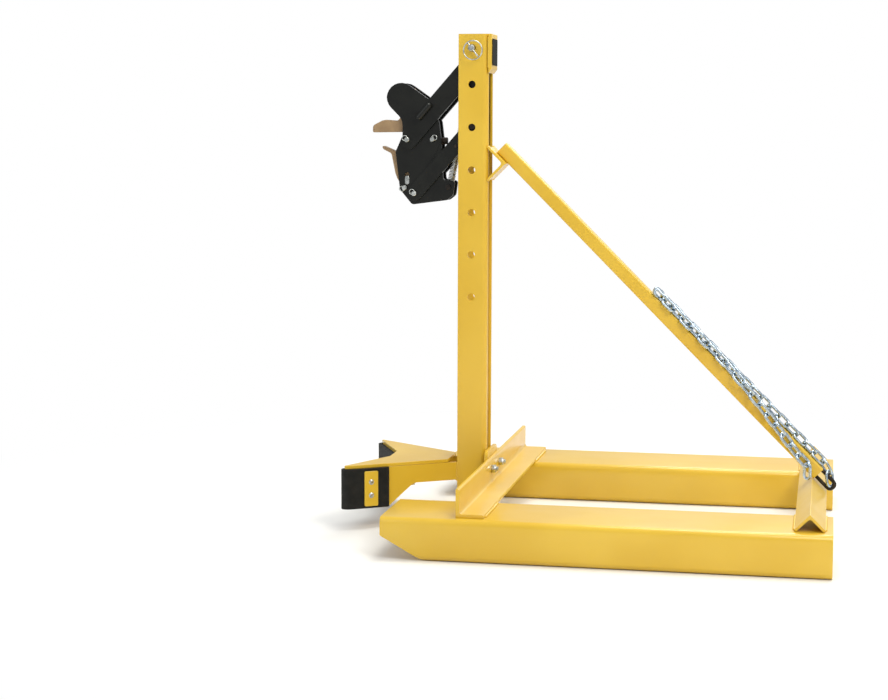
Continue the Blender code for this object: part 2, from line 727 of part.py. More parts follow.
lower_ground = Vector(LOWER_GROUND)
reach = Vector(ARM_REACH)
arm_along = reach.normalized()
arm_side = Vector((-arm_along.y, arm_along.x))
lower_end = lower_ground + reach
upper_ground = lower_ground + Vector(LINK_OFFSET)
upper_end = upper_ground + reach

# Carriage: a channel folded from plate, open to the front, that slides in the mast on its pin.
top_anchor = Vector(SPRING_TOP_ANCHOR)
pin_place = Vector((HOLE_X, PIN_Z))
fold = HEAD_PLATE_WALL + 1.5
carriage_outline = rounded([(CARRIAGE_FRONT, -HEAD_OUTER, 1), (CARRIAGE_BACK, -HEAD_OUTER, fold),
                            (CARRIAGE_BACK, HEAD_OUTER, fold), (CARRIAGE_FRONT, HEAD_OUTER, 1),
                            (CARRIAGE_FRONT, HEAD_INNER, 1),
                            (CARRIAGE_BACK - HEAD_PLATE_WALL, HEAD_INNER, fold - HEAD_PLATE_WALL),
                            (CARRIAGE_BACK - HEAD_PLATE_WALL, -HEAD_INNER, fold - HEAD_PLATE_WALL),
                            (CARRIAGE_FRONT, -HEAD_INNER, 1)])
carriage = put("carriage", plate_xy(carriage_outline, CARRIAGE_BOTTOM, CARRIAGE_TOP), BLACK)
carriage_bores = [turned([(-HALF_MAST, radius + RUN), (HALF_MAST, radius + RUN)], place)
                  for place, radius in ((pin_place, PIN_RADIUS), (upper_ground, PIVOT_RADIUS),
                                        (lower_ground, PIVOT_RADIUS),
                                        (top_anchor, SPRING_PIN_RADIUS))]
carriage_tool = put("carriage_bore_tool", join(*carriage_bores), ZINC)
carriage_tool.hide_render = True
carriage_tool.display_type = "WIRE"
cut(carriage, carriage_tool)


def pivot_pin(name, place, half_length, radius, parent=ROOT, material=ZINC, count=ROUND):
    """A plain pin across y with chamfered ends."""
    pin = turned([(-half_length, radius - 0.8), (-half_length + 0.8, radius),
                  (half_length - 0.8, radius), (half_length, radius - 0.8)], place, count=count)
    put(name, pin, material, parent, smooth=True)


PIVOT_HALF = ARM_OUTER + 1.2
pivot_pin("upper_pivot_pin", upper_ground, PIVOT_HALF, PIVOT_RADIUS)
pivot_pin("lower_pivot_pin", lower_ground, PIVOT_HALF, PIVOT_RADIUS)
pivot_pin("carriage_spring_pin", top_anchor, HEAD_OUTER, SPRING_PIN_RADIUS, count=10)

# Joint axes
ARM_AXIS = empty_at("lower_arm_axis", *lower_ground, ROOT)
HEAD_AXIS = empty_at("head_axis", *lower_end, ARM_AXIS)
JAW_AXIS = empty_at("upper_arm_axis", *upper_ground, ROOT)

# Lower arms: two bars on the lower pivot.
spring_pin_place = lower_ground + arm_along * SPRING_PIN_ALONG_ARM
half_l = LOWER_ARM_WIDTH / 2


def bar_corner(base, along, aside, radius):
    point = base + arm_along * along + arm_side * aside
    return (point.x, point.y, radius)


lower_outline = rounded([bar_corner(lower_ground, -half_l, half_l, half_l * 0.98),
                         bar_corner(lower_ground, -half_l, -half_l, half_l * 0.98),
                         bar_corner(lower_end, half_l, -half_l, half_l * 0.98),
                         bar_corner(lower_end, half_l, half_l, half_l * 0.98)])
lower_holes = [circle(*lower_ground, PIVOT_RADIUS + RUN, ROUND, pi / ROUND),
               circle(*lower_end, CLEVIS_RADIUS + RUN, ROUND, pi / ROUND),
               circle(*spring_pin_place, SPRING_PIN_RADIUS + SEAT, 10, pi / 10)]
for side, (low, high) in both_sides(ARM_INNER, ARM_OUTER).items():
    put(f"lower_arm_{side}", plate_xz(lower_outline, low, high, lower_holes), BLACK, ARM_AXIS)
pivot_pin("arm_spring_pin", spring_pin_place, ARM_OUTER, SPRING_PIN_RADIUS, ARM_AXIS, count=10)

# Upper arms: one plate a side, a bar that opens into the hooked cheek which carries the jaw.
half_u = UPPER_ARM_WIDTH / 2
CHEEK_NOSE = 28.5
CHEEK_LEFT = -40.5
CHEEK_NECK = -9.5


def from_pin(dx, dz, radius=0.0):
    """A corner by its offset from the upper clevis pin."""
    return (upper_end.x + dx, upper_end.y + dz, radius)


arm_root_low = bar_corner(upper_ground, -half_u, half_u, half_u * 0.98)
arm_root_high = bar_corner(upper_ground, -half_u, -half_u, half_u * 0.98)
notch_x = 42.0
on_edge = upper_ground - arm_side * half_u
notch_share = (upper_end.x + notch_x - on_edge.x) / arm_along.x
notch = on_edge + arm_along * notch_share
low_edge = upper_ground + arm_side * half_u
low_share = (upper_end.x + CHEEK_NECK - low_edge.x) / arm_along.x
low_corner = low_edge + arm_along * low_share
cheek_outline = rounded([arm_root_low, arm_root_high, (notch.x, notch.y, 3.0),
                         from_pin(CHEEK_LEFT, 134.1, CHEEK_NOSE), from_pin(CHEEK_LEFT, 69.1, CHEEK_NOSE),
                         from_pin(CHEEK_NECK, 38.1, 25.0), (low_corner.x, low_corner.y, 13.0)], 16)
cheek_holes = [circle(*upper_ground, PIVOT_RADIUS + RUN, ROUND, pi / ROUND),
               circle(*upper_end, CLEVIS_RADIUS + RUN, ROUND, pi / ROUND)]
upper_arms = {side: put(f"upper_arm_{side}", plate_xz(cheek_outline, low, high, cheek_holes), BLACK,
                        JAW_AXIS) for side, (low, high) in both_sides(ARM_INNER, ARM_OUTER).items()}

# Upper jaw: a hooked block between the cheeks.
jaw_half = ARM_INNER - SEAT
upper_jaw_outline = rounded([from_pin(-70, 13.5, 3), from_pin(-69.5, 27, 7), from_pin(-48, 38, 14),
                             from_pin(-14, 35.5, 8), from_pin(-22, 82, 12), from_pin(-2, 98, 6),
                             from_pin(11, 98, 6), from_pin(3, 38, 10), from_pin(-8, 14.5, 3)], 22)
put("upper_jaw", plate_xz(upper_jaw_outline, -jaw_half, jaw_half), TAN, JAW_AXIS, smooth=True)

# Stop lugs: short round bars welded along the bar's upper edge, one on each cheek.
LUG_RADIUS = 6.0
LUG_LENGTH = 38.0
LUG_SINK = 1.5
lug_start = notch + arm_side * 9.0 + arm_along * 4.0
for side, sign in (("near", -1), ("far", 1)):
    y = sign * (ARM_OUTER + LUG_RADIUS - LUG_SINK)
    ends = [lug_start + arm_along * d for d in (0.0, 2.0, LUG_LENGTH - 2.0, LUG_LENGTH)]
    sizes = (LUG_RADIUS * 0.7, LUG_RADIUS, LUG_RADIUS, LUG_RADIUS * 0.7)
    bm = bmesh.new()
    rings = [[bm.verts.new(Vector((p.x + arm_side.x * r * cos(t), y + r * sin(t),
                                   p.y + arm_side.y * r * cos(t))) * MM)
              for t in [2 * pi * (k + 0.4) / 12 for k in range(12)]] for p, r in zip(ends, sizes)]
    for low, high in zip(rings, rings[1:]):
        for i in range(12):
            bm.faces.new((low[i - 1], low[i], high[i], high[i - 1]))
    bm.faces.new(rings[0])
    bm.faces.new(rings[-1])
    lug = put(f"stop_lug_tool_{side}", bm, BLACK, JAW_AXIS)
    lug.hide_render = True
    lug.display_type = "WIRE"
    weld = upper_arms[side].modifiers.new("weld", "BOOLEAN")
    weld.operation = "UNION"
    weld.solver = "EXACT"
    weld.object = lug

# Head: two side plates held by clevis pins.
stop_pin_place = upper_end + Vector((48.1, 0.7))
rest_pin_place = lower_end + Vector((-20.4, 10.8))
low_anchor = Vector(SPRING_LOW_ANCHOR)
SLOT_RADIUS = 4.6
SLOT_X = -102.8
SLOT_LOW = 651.0
SLOT_HIGH = 675.0
slot_middle = (SLOT_LOW + SLOT_HIGH) / 2
slot_half = (SLOT_HIGH - SLOT_LOW) / 2 - SLOT_RADIUS
head_outline = rounded([(-112.5, 744, 10), (-48, 789, 8), (-40, 772, 10), (-35.5, 735, 3), (-32, 661, 6),
                        (-9, 659, 5), (-12.5, 631, 8), (-24, 622, 6), (-92.7, 612.9, 7),
                        (-117, 642, 6), (-125.5, 714.6, 3)])
head_holes = [circle(*upper_end, CLEVIS_RADIUS + SEAT, ROUND, pi / ROUND),
              circle(*lower_end, CLEVIS_RADIUS + SEAT, ROUND, pi / ROUND),
              circle(*stop_pin_place, CLEVIS_RADIUS + SEAT, ROUND, pi / ROUND),
              circle(*rest_pin_place, CLEVIS_RADIUS + SEAT, ROUND, pi / ROUND),
              circle(*low_anchor, SPRING_PIN_RADIUS + SEAT, 10, pi / 10),
              slot_outline(SLOT_X, slot_middle, SLOT_RADIUS, slot_half)]
for side, (low, high) in both_sides(HEAD_INNER, HEAD_OUTER).items():
    put(f"head_{side}_plate", plate_xz(head_outline, low, high, head_holes), BLACK, HEAD_AXIS)
put("head_spring_bolt",
    turned([(-HEAD_OUTER - 4, SPRING_PIN_RADIUS + 2), (-HEAD_OUTER - SEAT, SPRING_PIN_RADIUS + 2),
            (-HEAD_OUTER - SEAT, SPRING_PIN_RADIUS), (HEAD_OUTER + 3, SPRING_PIN_RADIUS)],
           low_anchor, count=10), DARK_STEEL, HEAD_AXIS, smooth=True)

# Clevis pins, each kept by a ring cotter on its near end.
COLLAR_RADIUS = 8.0
COLLAR_WALL = 3.0
COTTER_RADIUS = 5.2
COTTER_WIRE = 0.8
CLEVIS_NEAR_END = 6.5
for name, place, outer, ring_turn in (("upper_link", upper_end, ARM_OUTER, 145),
                                      ("lower_link", lower_end, ARM_OUTER, 140),
                                      ("stop_block", stop_pin_place, HEAD_OUTER, 40),
                                      ("jaw_rest", rest_pin_place, HEAD_OUTER, 205)):
    near = -outer - CLEVIS_NEAR_END
    far = outer + SEAT
    put(f"{name}_pin",
        turned([(near, CLEVIS_RADIUS - 1.0), (near + 0.8, CLEVIS_RADIUS), (far, CLEVIS_RADIUS),
                (far, COLLAR_RADIUS), (far + COLLAR_WALL, COLLAR_RADIUS)], place),
        ZINC, HEAD_AXIS, smooth=True)
    turn = radians(ring_turn)
    centre = place + Vector((cos(turn), sin(turn))) * COTTER_RADIUS
    open_half = 2 * asin((CLEVIS_RADIUS + COTTER_WIRE + SEAT) / (2 * COTTER_RADIUS))
    arc = [turn + pi + open_half + (2 * pi - 2 * open_half) * k / 12 for k in range(13)]
    cotter = [(centre.x + COTTER_RADIUS * cos(t), near + CLEVIS_NEAR_END / 2,
               centre.y + COTTER_RADIUS * sin(t)) for t in arc]
    put(f"{name}_cotter", swept(cotter, COTTER_WIRE, 5), ZINC, HEAD_AXIS, smooth=True)

# Stop block and stop screw between the head plates.
block_half = HEAD_INNER - SEAT
block = rounded([(stop_pin_place.x - 11, stop_pin_place.y - 11, 2),
                 (stop_pin_place.x + 12, stop_pin_place.y - 11, 2),
                 (stop_pin_place.x + 12, stop_pin_place.y + 11, 2),
                 (stop_pin_place.x - 11, stop_pin_place.y + 11, 2)])
put("stop_block",
    plate_xz(block, -block_half, block_half,
             [circle(*stop_pin_place, CLEVIS_RADIUS + SEAT, ROUND, pi / ROUND)]), DARK_STEEL, HEAD_AXIS)
SCREW_RADIUS = 4.0
screw_z = stop_pin_place.y - 3.0
screw_from = stop_pin_place.x + 12 + SEAT
put("stop_screw",
    turned([(screw_from, SCREW_RADIUS), (screw_from + 3.0, SCREW_RADIUS), (screw_from + 3.0, 7.0),
            (screw_from + 13.0, 7.0), (screw_from + 14.0, 6.0)], (0.0, screw_z), "x", 12),
    DARK_STEEL, HEAD_AXIS, smooth=True)

# Lower jaw: a block between the head plates, keyed in their slots and resting on the rest pin.
KEY_RADIUS = SLOT_RADIUS - RUN
KEY_LENGTH = 17.0
LOWER_JAW_HALF = HEAD_INNER - LAYER_GAP
JAW_SLIDE = empty_at("lower_jaw_axis", SLOT_X, SLOT_LOW, HEAD_AXIS)
jaw_base = rest_pin_place.y + CLEVIS_RADIUS + SEAT
lower_jaw_outline = rounded([(-156, 727, 2), (-124, 714, 4), (-84, 722, 6), (-84, jaw_base, 4),
                             (-116, jaw_base, 3), (-126.5, 667, 30), (-135.5, 711, 6), (-151, 718.5, 3)], 22)
key_middle = SLOT_LOW + RUN + KEY_LENGTH / 2
key_outline = slot_outline(SLOT_X, key_middle, KEY_RADIUS, KEY_LENGTH / 2 - KEY_RADIUS)
key_hole = slot_outline(SLOT_X, key_middle, KEY_RADIUS + SEAT, KEY_LENGTH / 2 - KEY_RADIUS)
put("lower_jaw", plate_xz(lower_jaw_outline, -LOWER_JAW_HALF, LOWER_JAW_HALF, [key_hole]), TAN,
    JAW_SLIDE, smooth=True)
put("jaw_key", plate_xz(key_outline, -HEAD_OUTER, HEAD_OUTER), ZINC, JAW_SLIDE, smooth=True)


# Springs: close-wound tension springs with a loop at each end.
def spring(name, low, high, y_shift, parent):
    """A coil from one anchor to the other, its end loops hooked round the pins."""
    start = Vector((low.x, 0, low.y))
    end = Vector((high.x, 0, high.y))
    axis = (end - start).normalized()
    cross = axis.cross(Vector((0, 1, 0))).normalized()
    across = Vector((0, 1, 0))
    length = (end - start).length
    body = length - 2 * SPRING_HOOK
    turns = round(body / (2 * SPRING_WIRE * 1.55))
    steps = 8
    points = []
    eye = SPRING_PIN_RADIUS + SPRING_WIRE + 0.45
    for k in range(7):
        angle = radians(-150 + 240 * k / 6)
        points.append(start + cross * eye * sin(angle) + axis * -eye * cos(angle) + across * y_shift)
    for k in range(turns * steps + 1):
        angle = 2 * pi * k / steps
        points.append(start + axis * (SPRING_HOOK + body * k / (turns * steps))
                      + cross * SPRING_RADIUS * cos(angle) + across * SPRING_RADIUS * sin(angle))
    for k in range(7):
        angle = radians(90 + 240 * k / 6)
        points.append(end + cross * eye * sin(angle) + axis * -eye * cos(angle) - across * y_shift)
    put(name, swept(points, SPRING_WIRE, 5), ZINC, parent, smooth=True)


spring("carriage_spring", spring_pin_place, top_anchor, 2.2, ROOT)
spring("head_spring", low_anchor, spring_pin_place, 2.2, ARM_AXIS)

# Height pin, with the lock pin through its near end and a ring hinged on the lock pin's head.
PIN_AXIS = empty_at("height_pin_axis", HOLE_X, PIN_Z, ROOT)
near_face = -HALF_MAST
pin_tip = near_face - PIN_OVERHANG_NEAR
leg_y = near_face - LOCK_LEG_STANDOFF
height_pin = put("height_pin",
                 turned([(pin_tip, PIN_RADIUS - 1.0), (pin_tip + 1.0, PIN_RADIUS),
                         (HALF_MAST + PIN_OVERHANG_FAR - 1.5, PIN_RADIUS),
                         (HALF_MAST + PIN_OVERHANG_FAR, PIN_RADIUS - 1.5)], pin_place, count=20),
                 ZINC, PIN_AXIS, smooth=True)
leg_along = Vector((cos(radians(LOCK_LEG_SLOPE + 14)), 0, -sin(radians(LOCK_LEG_SLOPE + 14))))
leg_middle = Vector((HOLE_X, leg_y, PIN_Z))
leg_head = leg_middle - leg_along * LOCK_LEG_LENGTH * 0.36
leg_foot = leg_middle + leg_along * LOCK_LEG_LENGTH * 0.64
leg_hole = put("leg_hole_tool",
               swept([leg_head - leg_along * 10, leg_foot], LOCK_LEG_RADIUS + SEAT, 8), ZINC, PIN_AXIS)
leg_hole.hide_render = True
leg_hole.display_type = "WIRE"
cut(height_pin, leg_hole)
put("lock_pin", swept([leg_head, leg_foot], LOCK_LEG_RADIUS, 8), ZINC, PIN_AXIS, smooth=True)

ring_centre = leg_head + leg_along * (LOCK_RING_RADIUS - 2.0)
hinge_place = leg_head - leg_along * (2.0 + LOCK_LEG_RADIUS)
RING_AXIS = empty_at("lock_ring_axis", hinge_place.x, hinge_place.z, PIN_AXIS, hinge_place.y)
ring_cross = Vector((-leg_along.z, 0, leg_along.x))
ring_y = pin_tip + 1.5
ring_points = []
for k in range(28):
    angle = 2 * pi * k / 28
    point = Vector((HOLE_X, ring_y, PIN_Z)) + leg_along * (LOCK_RING_RADIUS * (0.30 - cos(angle))) \
        + ring_cross * LOCK_RING_RADIUS * sin(angle)
    ring_points.append(point)
put("lock_ring", swept(ring_points, LOCK_RING_WIRE, 6, closed=True), ZINC, RING_AXIS, smooth=True)

# Chain: an anchor staple at the brace's lower end and the links that lie up the brace.
staple_low = ANCHOR_LOW + ANCHOR_WIRE / 2
staple_high = ANCHOR_HIGH
end_face = BRACE_END + SEAT
bend = 7.0
staple = [on_brace(end_face, staple_low), on_brace(BRACE_END + ANCHOR_REACH - bend, staple_low)]
staple += [on_brace(BRACE_END + ANCHOR_REACH - bend + bend * sin(t), staple_low + bend - bend * cos(t))
           for t in (radians(30), radians(60), radians(90))]
staple += [on_brace(BRACE_END + ANCHOR_REACH - bend + bend * cos(t), staple_high - bend + bend * sin(t))
           for t in (0.0, radians(30), radians(60), radians(90))]
staple += [on_brace(end_face, staple_high)]
put("chain_anchor", swept(staple, ANCHOR_WIRE - 0.3, 8), DARK_STEEL, smooth=True)

DECK_OF_BRACE = BRACE_SIZE + SEAT
LINK_END = CHAIN_INNER_HALF + CHAIN_WIRE
link_rise = DECK_OF_BRACE + SEAT + CHAIN_HALF_WIDTH * sin(radians(45)) + CHAIN_WIRE
pivot_out = (staple_low + staple_high) / 2
pivot_along = BRACE_END + ANCHOR_REACH - 2 * ANCHOR_WIRE - 0.4
CHAIN_AXIS_PLACE = on_brace(pivot_along, pivot_out)
CHAIN_AXIS = empty_at("chain_axis", CHAIN_AXIS_PLACE.x, CHAIN_AXIS_PLACE.z, ROOT)


def chain_link(middle, along, across):
    """One welded link: a wire round a long oval, in the plane of along and across."""
    points = []
    straight = LINK_END - CHAIN_HALF_WIDTH
    for half in (0, 1):
        for k in range(6):
            angle = -pi / 2 + pi * k / 5 + pi * half
            centre = straight * (1 if half == 0 else -1)
            points.append(middle + along * (centre + CHAIN_HALF_WIDTH * cos(angle))
                          + across * CHAIN_HALF_WIDTH * sin(angle))
    return swept(points, CHAIN_WIRE, 6, closed=True)


Y = Vector((0, 1, 0))


def run_of_links(name, places):
    """A run of links, its odd ones joined to its even ones where they bear on each other."""
    even = put(name, join(*[chain_link(*place) for place in places[0::2]]), CHAIN_ZINC, CHAIN_AXIS,
               smooth=True)
    odd = put(f"{name}_odd_links", join(*[chain_link(*place) for place in places[1::2]]), CHAIN_ZINC,
              CHAIN_AXIS, smooth=True)
    odd.hide_render = True
    odd.display_type = "WIRE"
    joined = even.modifiers.new("joined", "BOOLEAN")
    joined.operation = "UNION"
    joined.solver = "EXACT"
    joined.object = odd


drop = link_rise - pivot_out
reach_up = sqrt(CHAIN_PITCH ** 2 - drop ** 2)
first_along = (OUT * drop - DOWN * reach_up).normalized()
places = [(CHAIN_AXIS_PLACE + first_along * LINK_END, first_along, Y)]
start_along = pivot_along - reach_up - LINK_END
for i in range(CHAIN_LINKS):
    roll = radians(45 if i % 2 else -45)
    places.append((on_brace(start_along - CHAIN_PITCH * i, link_rise), DOWN,
                   Y * cos(roll) + OUT * sin(roll)))
run_of_links("chain", places)

# The origin: the middle of the footprint, on the floor.
bpy.context.view_layer.update()
reach_x = [(obj.matrix_world @ vertex.co).x for obj in bpy.data.objects
           if obj.type == "MESH" and not obj.hide_render for vertex in obj.data.vertices]
ROOT.location.x = -(min(reach_x) + max(reach_x)) / 2
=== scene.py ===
"""Fork-mounted drum lifter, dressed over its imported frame: painted steel, black linkage, belted cradle."""
import json
import bmesh
import bpy
import numpy as np
from mathutils import Matrix, Vector

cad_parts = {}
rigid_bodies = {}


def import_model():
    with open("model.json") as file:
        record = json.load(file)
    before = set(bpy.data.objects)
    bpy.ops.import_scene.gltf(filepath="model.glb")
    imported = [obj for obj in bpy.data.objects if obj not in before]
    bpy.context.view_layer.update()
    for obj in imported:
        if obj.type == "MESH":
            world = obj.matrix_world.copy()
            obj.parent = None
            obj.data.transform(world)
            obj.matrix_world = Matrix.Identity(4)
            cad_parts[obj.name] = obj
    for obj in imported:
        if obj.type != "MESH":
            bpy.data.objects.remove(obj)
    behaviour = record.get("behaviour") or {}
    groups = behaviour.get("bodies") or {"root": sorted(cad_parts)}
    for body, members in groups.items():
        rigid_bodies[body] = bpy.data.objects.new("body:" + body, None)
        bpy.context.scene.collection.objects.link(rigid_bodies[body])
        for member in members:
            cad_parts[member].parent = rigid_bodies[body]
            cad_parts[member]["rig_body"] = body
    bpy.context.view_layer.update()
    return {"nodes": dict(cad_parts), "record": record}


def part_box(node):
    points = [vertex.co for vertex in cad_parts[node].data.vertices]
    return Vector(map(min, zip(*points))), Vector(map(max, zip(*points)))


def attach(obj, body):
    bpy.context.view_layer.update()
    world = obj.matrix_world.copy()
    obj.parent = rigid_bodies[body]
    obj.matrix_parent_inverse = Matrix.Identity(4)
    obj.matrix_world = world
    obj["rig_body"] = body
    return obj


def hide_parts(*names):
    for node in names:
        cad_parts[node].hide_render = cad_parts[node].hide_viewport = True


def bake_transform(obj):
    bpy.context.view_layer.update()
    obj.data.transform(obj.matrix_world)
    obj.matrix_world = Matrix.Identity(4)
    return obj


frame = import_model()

nodes = frame["nodes"]

# Camera, floor and light. The camera stands about four metres off the near fork tube, a little above
# the mast's middle, and looks slightly down and towards the gripping head, as the photograph was taken.
SENSOR, FOCUS_PIXELS, PICTURE_PIXELS = 36.0, 1913.148, 888.0
CAMERA_PLACE = (0.438418, -3.633076, 0.757392)
right = Vector((0.98019732, 0.19800501, 0.00268723)).normalized()
forward = Vector((-0.19639878, 0.97380147, -0.1146221)).normalized()
upward = right.cross(forward).normalized()
lens = bpy.data.cameras.new("camera")
lens.sensor_width = SENSOR
lens.lens = SENSOR * FOCUS_PIXELS / PICTURE_PIXELS
lens.clip_end = 60.0
camera = bpy.data.objects.new("camera", lens)
bpy.context.scene.collection.objects.link(camera)
camera.matrix_world = Matrix.Translation(CAMERA_PLACE) @ Matrix((
    (right.x, upward.x, -forward.x), (right.y, upward.y, -forward.y),
    (right.z, upward.z, -forward.z))).to_4x4()
bpy.context.scene.camera = camera
bpy.context.scene.view_settings.view_transform = "Standard"


def linear(code):
    """sRGB hex to a linear RGBA colour."""
    s = np.array([int(code[i:i + 2], 16) for i in (1, 3, 5)]) / 255.0
    rgb = np.where(s <= 0.04045, s / 12.92, ((s + 0.055) / 1.055) ** 2.4)
    return (*rgb.tolist(), 1.0)


def add(tree, kind, inputs=(), **settings):
    """Add a node, set its properties, and give each input a value or a link."""
    node = tree.nodes.new(kind)
    for key, value in settings.items():
        setattr(node, key, value)
    for key, value in dict(inputs).items():
        if isinstance(value, bpy.types.NodeSocket):
            tree.links.new(value, node.inputs[key])
        else:
            node.inputs[key].default_value = value
    return node


# The floor is a pale matt sheet. For the camera alone it fades into the white behind it.
REACH, DROP = 9.0, 0.0006
FADE_FROM, FADE_TO = 0.55, 1.5
corners = [(-REACH, -REACH, -DROP), (REACH, -REACH, -DROP), (REACH, REACH, -DROP), (-REACH, REACH, -DROP)]
floor_mesh = bpy.data.meshes.new("floor")
floor_mesh.from_pydata(corners, [], [(0, 1, 2, 3)])
floor = bpy.data.objects.new("floor", floor_mesh)
bpy.context.scene.collection.objects.link(floor)
pale = bpy.data.materials.new("pale_floor")
pale.use_nodes = True
ground = pale.node_tree
matt = ground.nodes["Principled BSDF"]
matt.inputs["Base Color"].default_value = linear("#EFEFED")
matt.inputs["Roughness"].default_value = 0.9
ray = add(ground, "ShaderNodeLightPath")
place = add(ground, "ShaderNodeTexCoord")
away = add(ground, "ShaderNodeVectorMath", {0: place.outputs["Object"]}, operation="LENGTH")
fade = add(ground, "ShaderNodeMapRange", {"Value": away.outputs["Value"], "From Min": FADE_FROM,
                                          "From Max": FADE_TO}, interpolation_type="SMOOTHSTEP")
clear = add(ground, "ShaderNodeMath", {0: fade.outputs["Result"], 1: ray.outputs["Is Camera Ray"]},
            operation="MULTIPLY")
white = add(ground, "ShaderNodeEmission", {"Color": (1, 1, 1, 1), "Strength": 1.0})
swept_floor = add(ground, "ShaderNodeMixShader", {0: clear.outputs[0], 1: matt.outputs[0],
                                                  2: white.outputs[0]})
ground.links.new(swept_floor.outputs[0], ground.nodes["Material Output"].inputs["Surface"])
floor_mesh.materials.append(pale)

world = bpy.data.worlds.new("studio")
bpy.context.scene.world = world
world.use_nodes = True
air = world.node_tree
air.nodes.clear()
path = add(air, "ShaderNodeLightPath")
soft_room = add(air, "ShaderNodeBackground", {"Color": linear("#F4F6FA"), "Strength": 0.62})
white_wall = add(air, "ShaderNodeBackground", {"Color": (1, 1, 1, 1), "Strength": 1.0})
seen = add(air, "ShaderNodeMixShader", {0: path.outputs["Is Camera Ray"], 1: soft_room.outputs[0],
                                        2: white_wall.outputs[0]})
add(air, "ShaderNodeOutputWorld", {"Surface": seen.outputs[0]})


def lamp(name, place, aim, size, watts, tint="#FFFFFF"):
    """A square soft box at a place, turned to its aim."""
    light = bpy.data.lights.new(name, "AREA")
    light.size = size
    light.energy = watts
    light.color = linear(tint)[:3]
    holder = bpy.data.objects.new(name, light)
    bpy.context.scene.collection.objects.link(holder)
    holder.location = place
    holder.rotation_mode = "QUATERNION"
    holder.rotation_quaternion = (Vector(aim) - Vector(place)).to_track_quat("-Z", "Y")


# Four soft boxes: a warm key high on the right, a cool fill on the left, one behind, one overhead.
lamp("key", (2.2, -2.4, 3.4), (0, 0, 0.4), 1.6, 82, "#FFFAF0")
lamp("fill", (-3.4, -2.4, 1.8), (-0.1, 0, 0.4), 2.4, 30, "#F3F7FF")
lamp("back", (0.6, 3.4, 2.8), (0, 0, 0.5), 2.0, 50)
lamp("top", (0.5, 0.4, 3.6), (0.1, 0, 0), 1.6, 72, "#FFFDF4")

# Yellow enamel of the welded frame: safety yellow sprayed over mill-scaled steel in one glossy coat,
# with a fine orange peel, a slow drift of shade from the spray passes, and a few dull scuffs.


def shader_of(name):
    """A new material with its tree, its Principled shader and its Object coordinates."""
    material = bpy.data.materials.new(name)
    material.use_nodes = True
    tree = material.node_tree
    coords = add(tree, "ShaderNodeTexCoord")
    return material, tree, tree.nodes["Principled BSDF"], coords.outputs["Object"]


def noise_at(tree, where, size_mm, detail=3.0, roughness=0.5):
    """Noise whose grains are about size_mm across."""
    return add(tree, "ShaderNodeTexNoise", {"Vector": where, "Scale": 1000.0 / size_mm,
                                            "Detail": detail, "Roughness": roughness}).outputs["Fac"]


def ramp(tree, value, low, high):
    """Zero below low, one above high, smooth between."""
    return add(tree, "ShaderNodeMapRange", {"Value": value, "From Min": low, "From Max": high},
               interpolation_type="SMOOTHSTEP").outputs["Result"]


def blend_colours(tree, share, low, high):
    """One colour turning to another by a share; each is a hex code or a socket."""
    mix = add(tree, "ShaderNodeMix", data_type="RGBA")
    tree.links.new(share, mix.inputs["Factor"])
    first_colour, second_colour = 6, 7
    for key, value in ((first_colour, low), (second_colour, high)):
        if isinstance(value, str):
            mix.inputs[key].default_value = linear(value)
        else:
            tree.links.new(value, mix.inputs[key])
    return mix.outputs[2]


def relief(tree, shader, height, depth_mm, strength):
    """Bump the shader by a height of so many millimetres."""
    bump = add(tree, "ShaderNodeBump", {"Height": height, "Distance": depth_mm * 0.001,
                                        "Strength": strength})
    tree.links.new(bump.outputs["Normal"], shader.inputs["Normal"])


def sprayed_yellow_enamel():
    """Warm yellow whose shade drifts over 220 mm, glossy under a thin coat, so its edges catch light."""
    material, tree, shader, where = shader_of("sprayed_yellow_enamel")
    passes = ramp(tree, noise_at(tree, where, 220, 2.0), 0.35, 0.65)
    colour = blend_colours(tree, passes, "#D9B02B", "#E0B937")
    scuffs = ramp(tree, noise_at(tree, where, 26, 8.0, 0.72), 0.66, 0.76)
    colour = blend_colours(tree, scuffs, colour, "#C8A02C")
    tree.links.new(colour, shader.inputs["Base Color"])
    gloss = add(tree, "ShaderNodeMapRange", {"Value": noise_at(tree, where, 60, 4.0),
                                             "To Min": 0.26, "To Max": 0.40})
    tree.links.new(gloss.outputs["Result"], shader.inputs["Roughness"])
    shader.inputs["Coat Weight"].default_value = 0.25
    shader.inputs["Coat Roughness"].default_value = 0.12
    relief(tree, shader, noise_at(tree, where, 3.2, 2.0), 0.05, 0.35)
    return material


yellow_enamel = sprayed_yellow_enamel()


def shown(name, verts, faces, material, body, replaced=(), sharp=60):
    """Put numpy vertices and faces into a mesh, dress it, and let it ride on its body. A piece
    given no body rides on none."""
    mesh = bpy.data.meshes.new(name)
    mesh.from_pydata(np.asarray(verts, float).reshape(-1, 3).tolist(), [], [list(f) for f in faces])
    mesh.validate()
    mesh.materials.append(material)
    mesh.shade_smooth()
    mesh.set_sharp_from_angle(angle=np.radians(sharp))
    piece = bpy.data.objects.new(name, mesh)
    bpy.context.scene.collection.objects.link(piece)
    if body:
        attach(piece, body)
    if replaced:
        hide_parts(*replaced)
    return piece


def sheet_faces(rows, columns, wrap_rows=False, wrap_columns=False):
    """The quads of a grid of points, joined round where it wraps: point (i, j) is i columns + j."""
    i = np.arange(rows if wrap_rows else rows - 1)[:, None]
    j = np.arange(columns if wrap_columns else columns - 1)[None, :]
    a = i * columns + j
    b = i * columns + (j + 1) % columns
    c = (i + 1) % rows * columns + (j + 1) % columns
    d = (i + 1) % rows * columns + j
    return np.stack([a, b, c, d], -1).reshape(-1, 4)


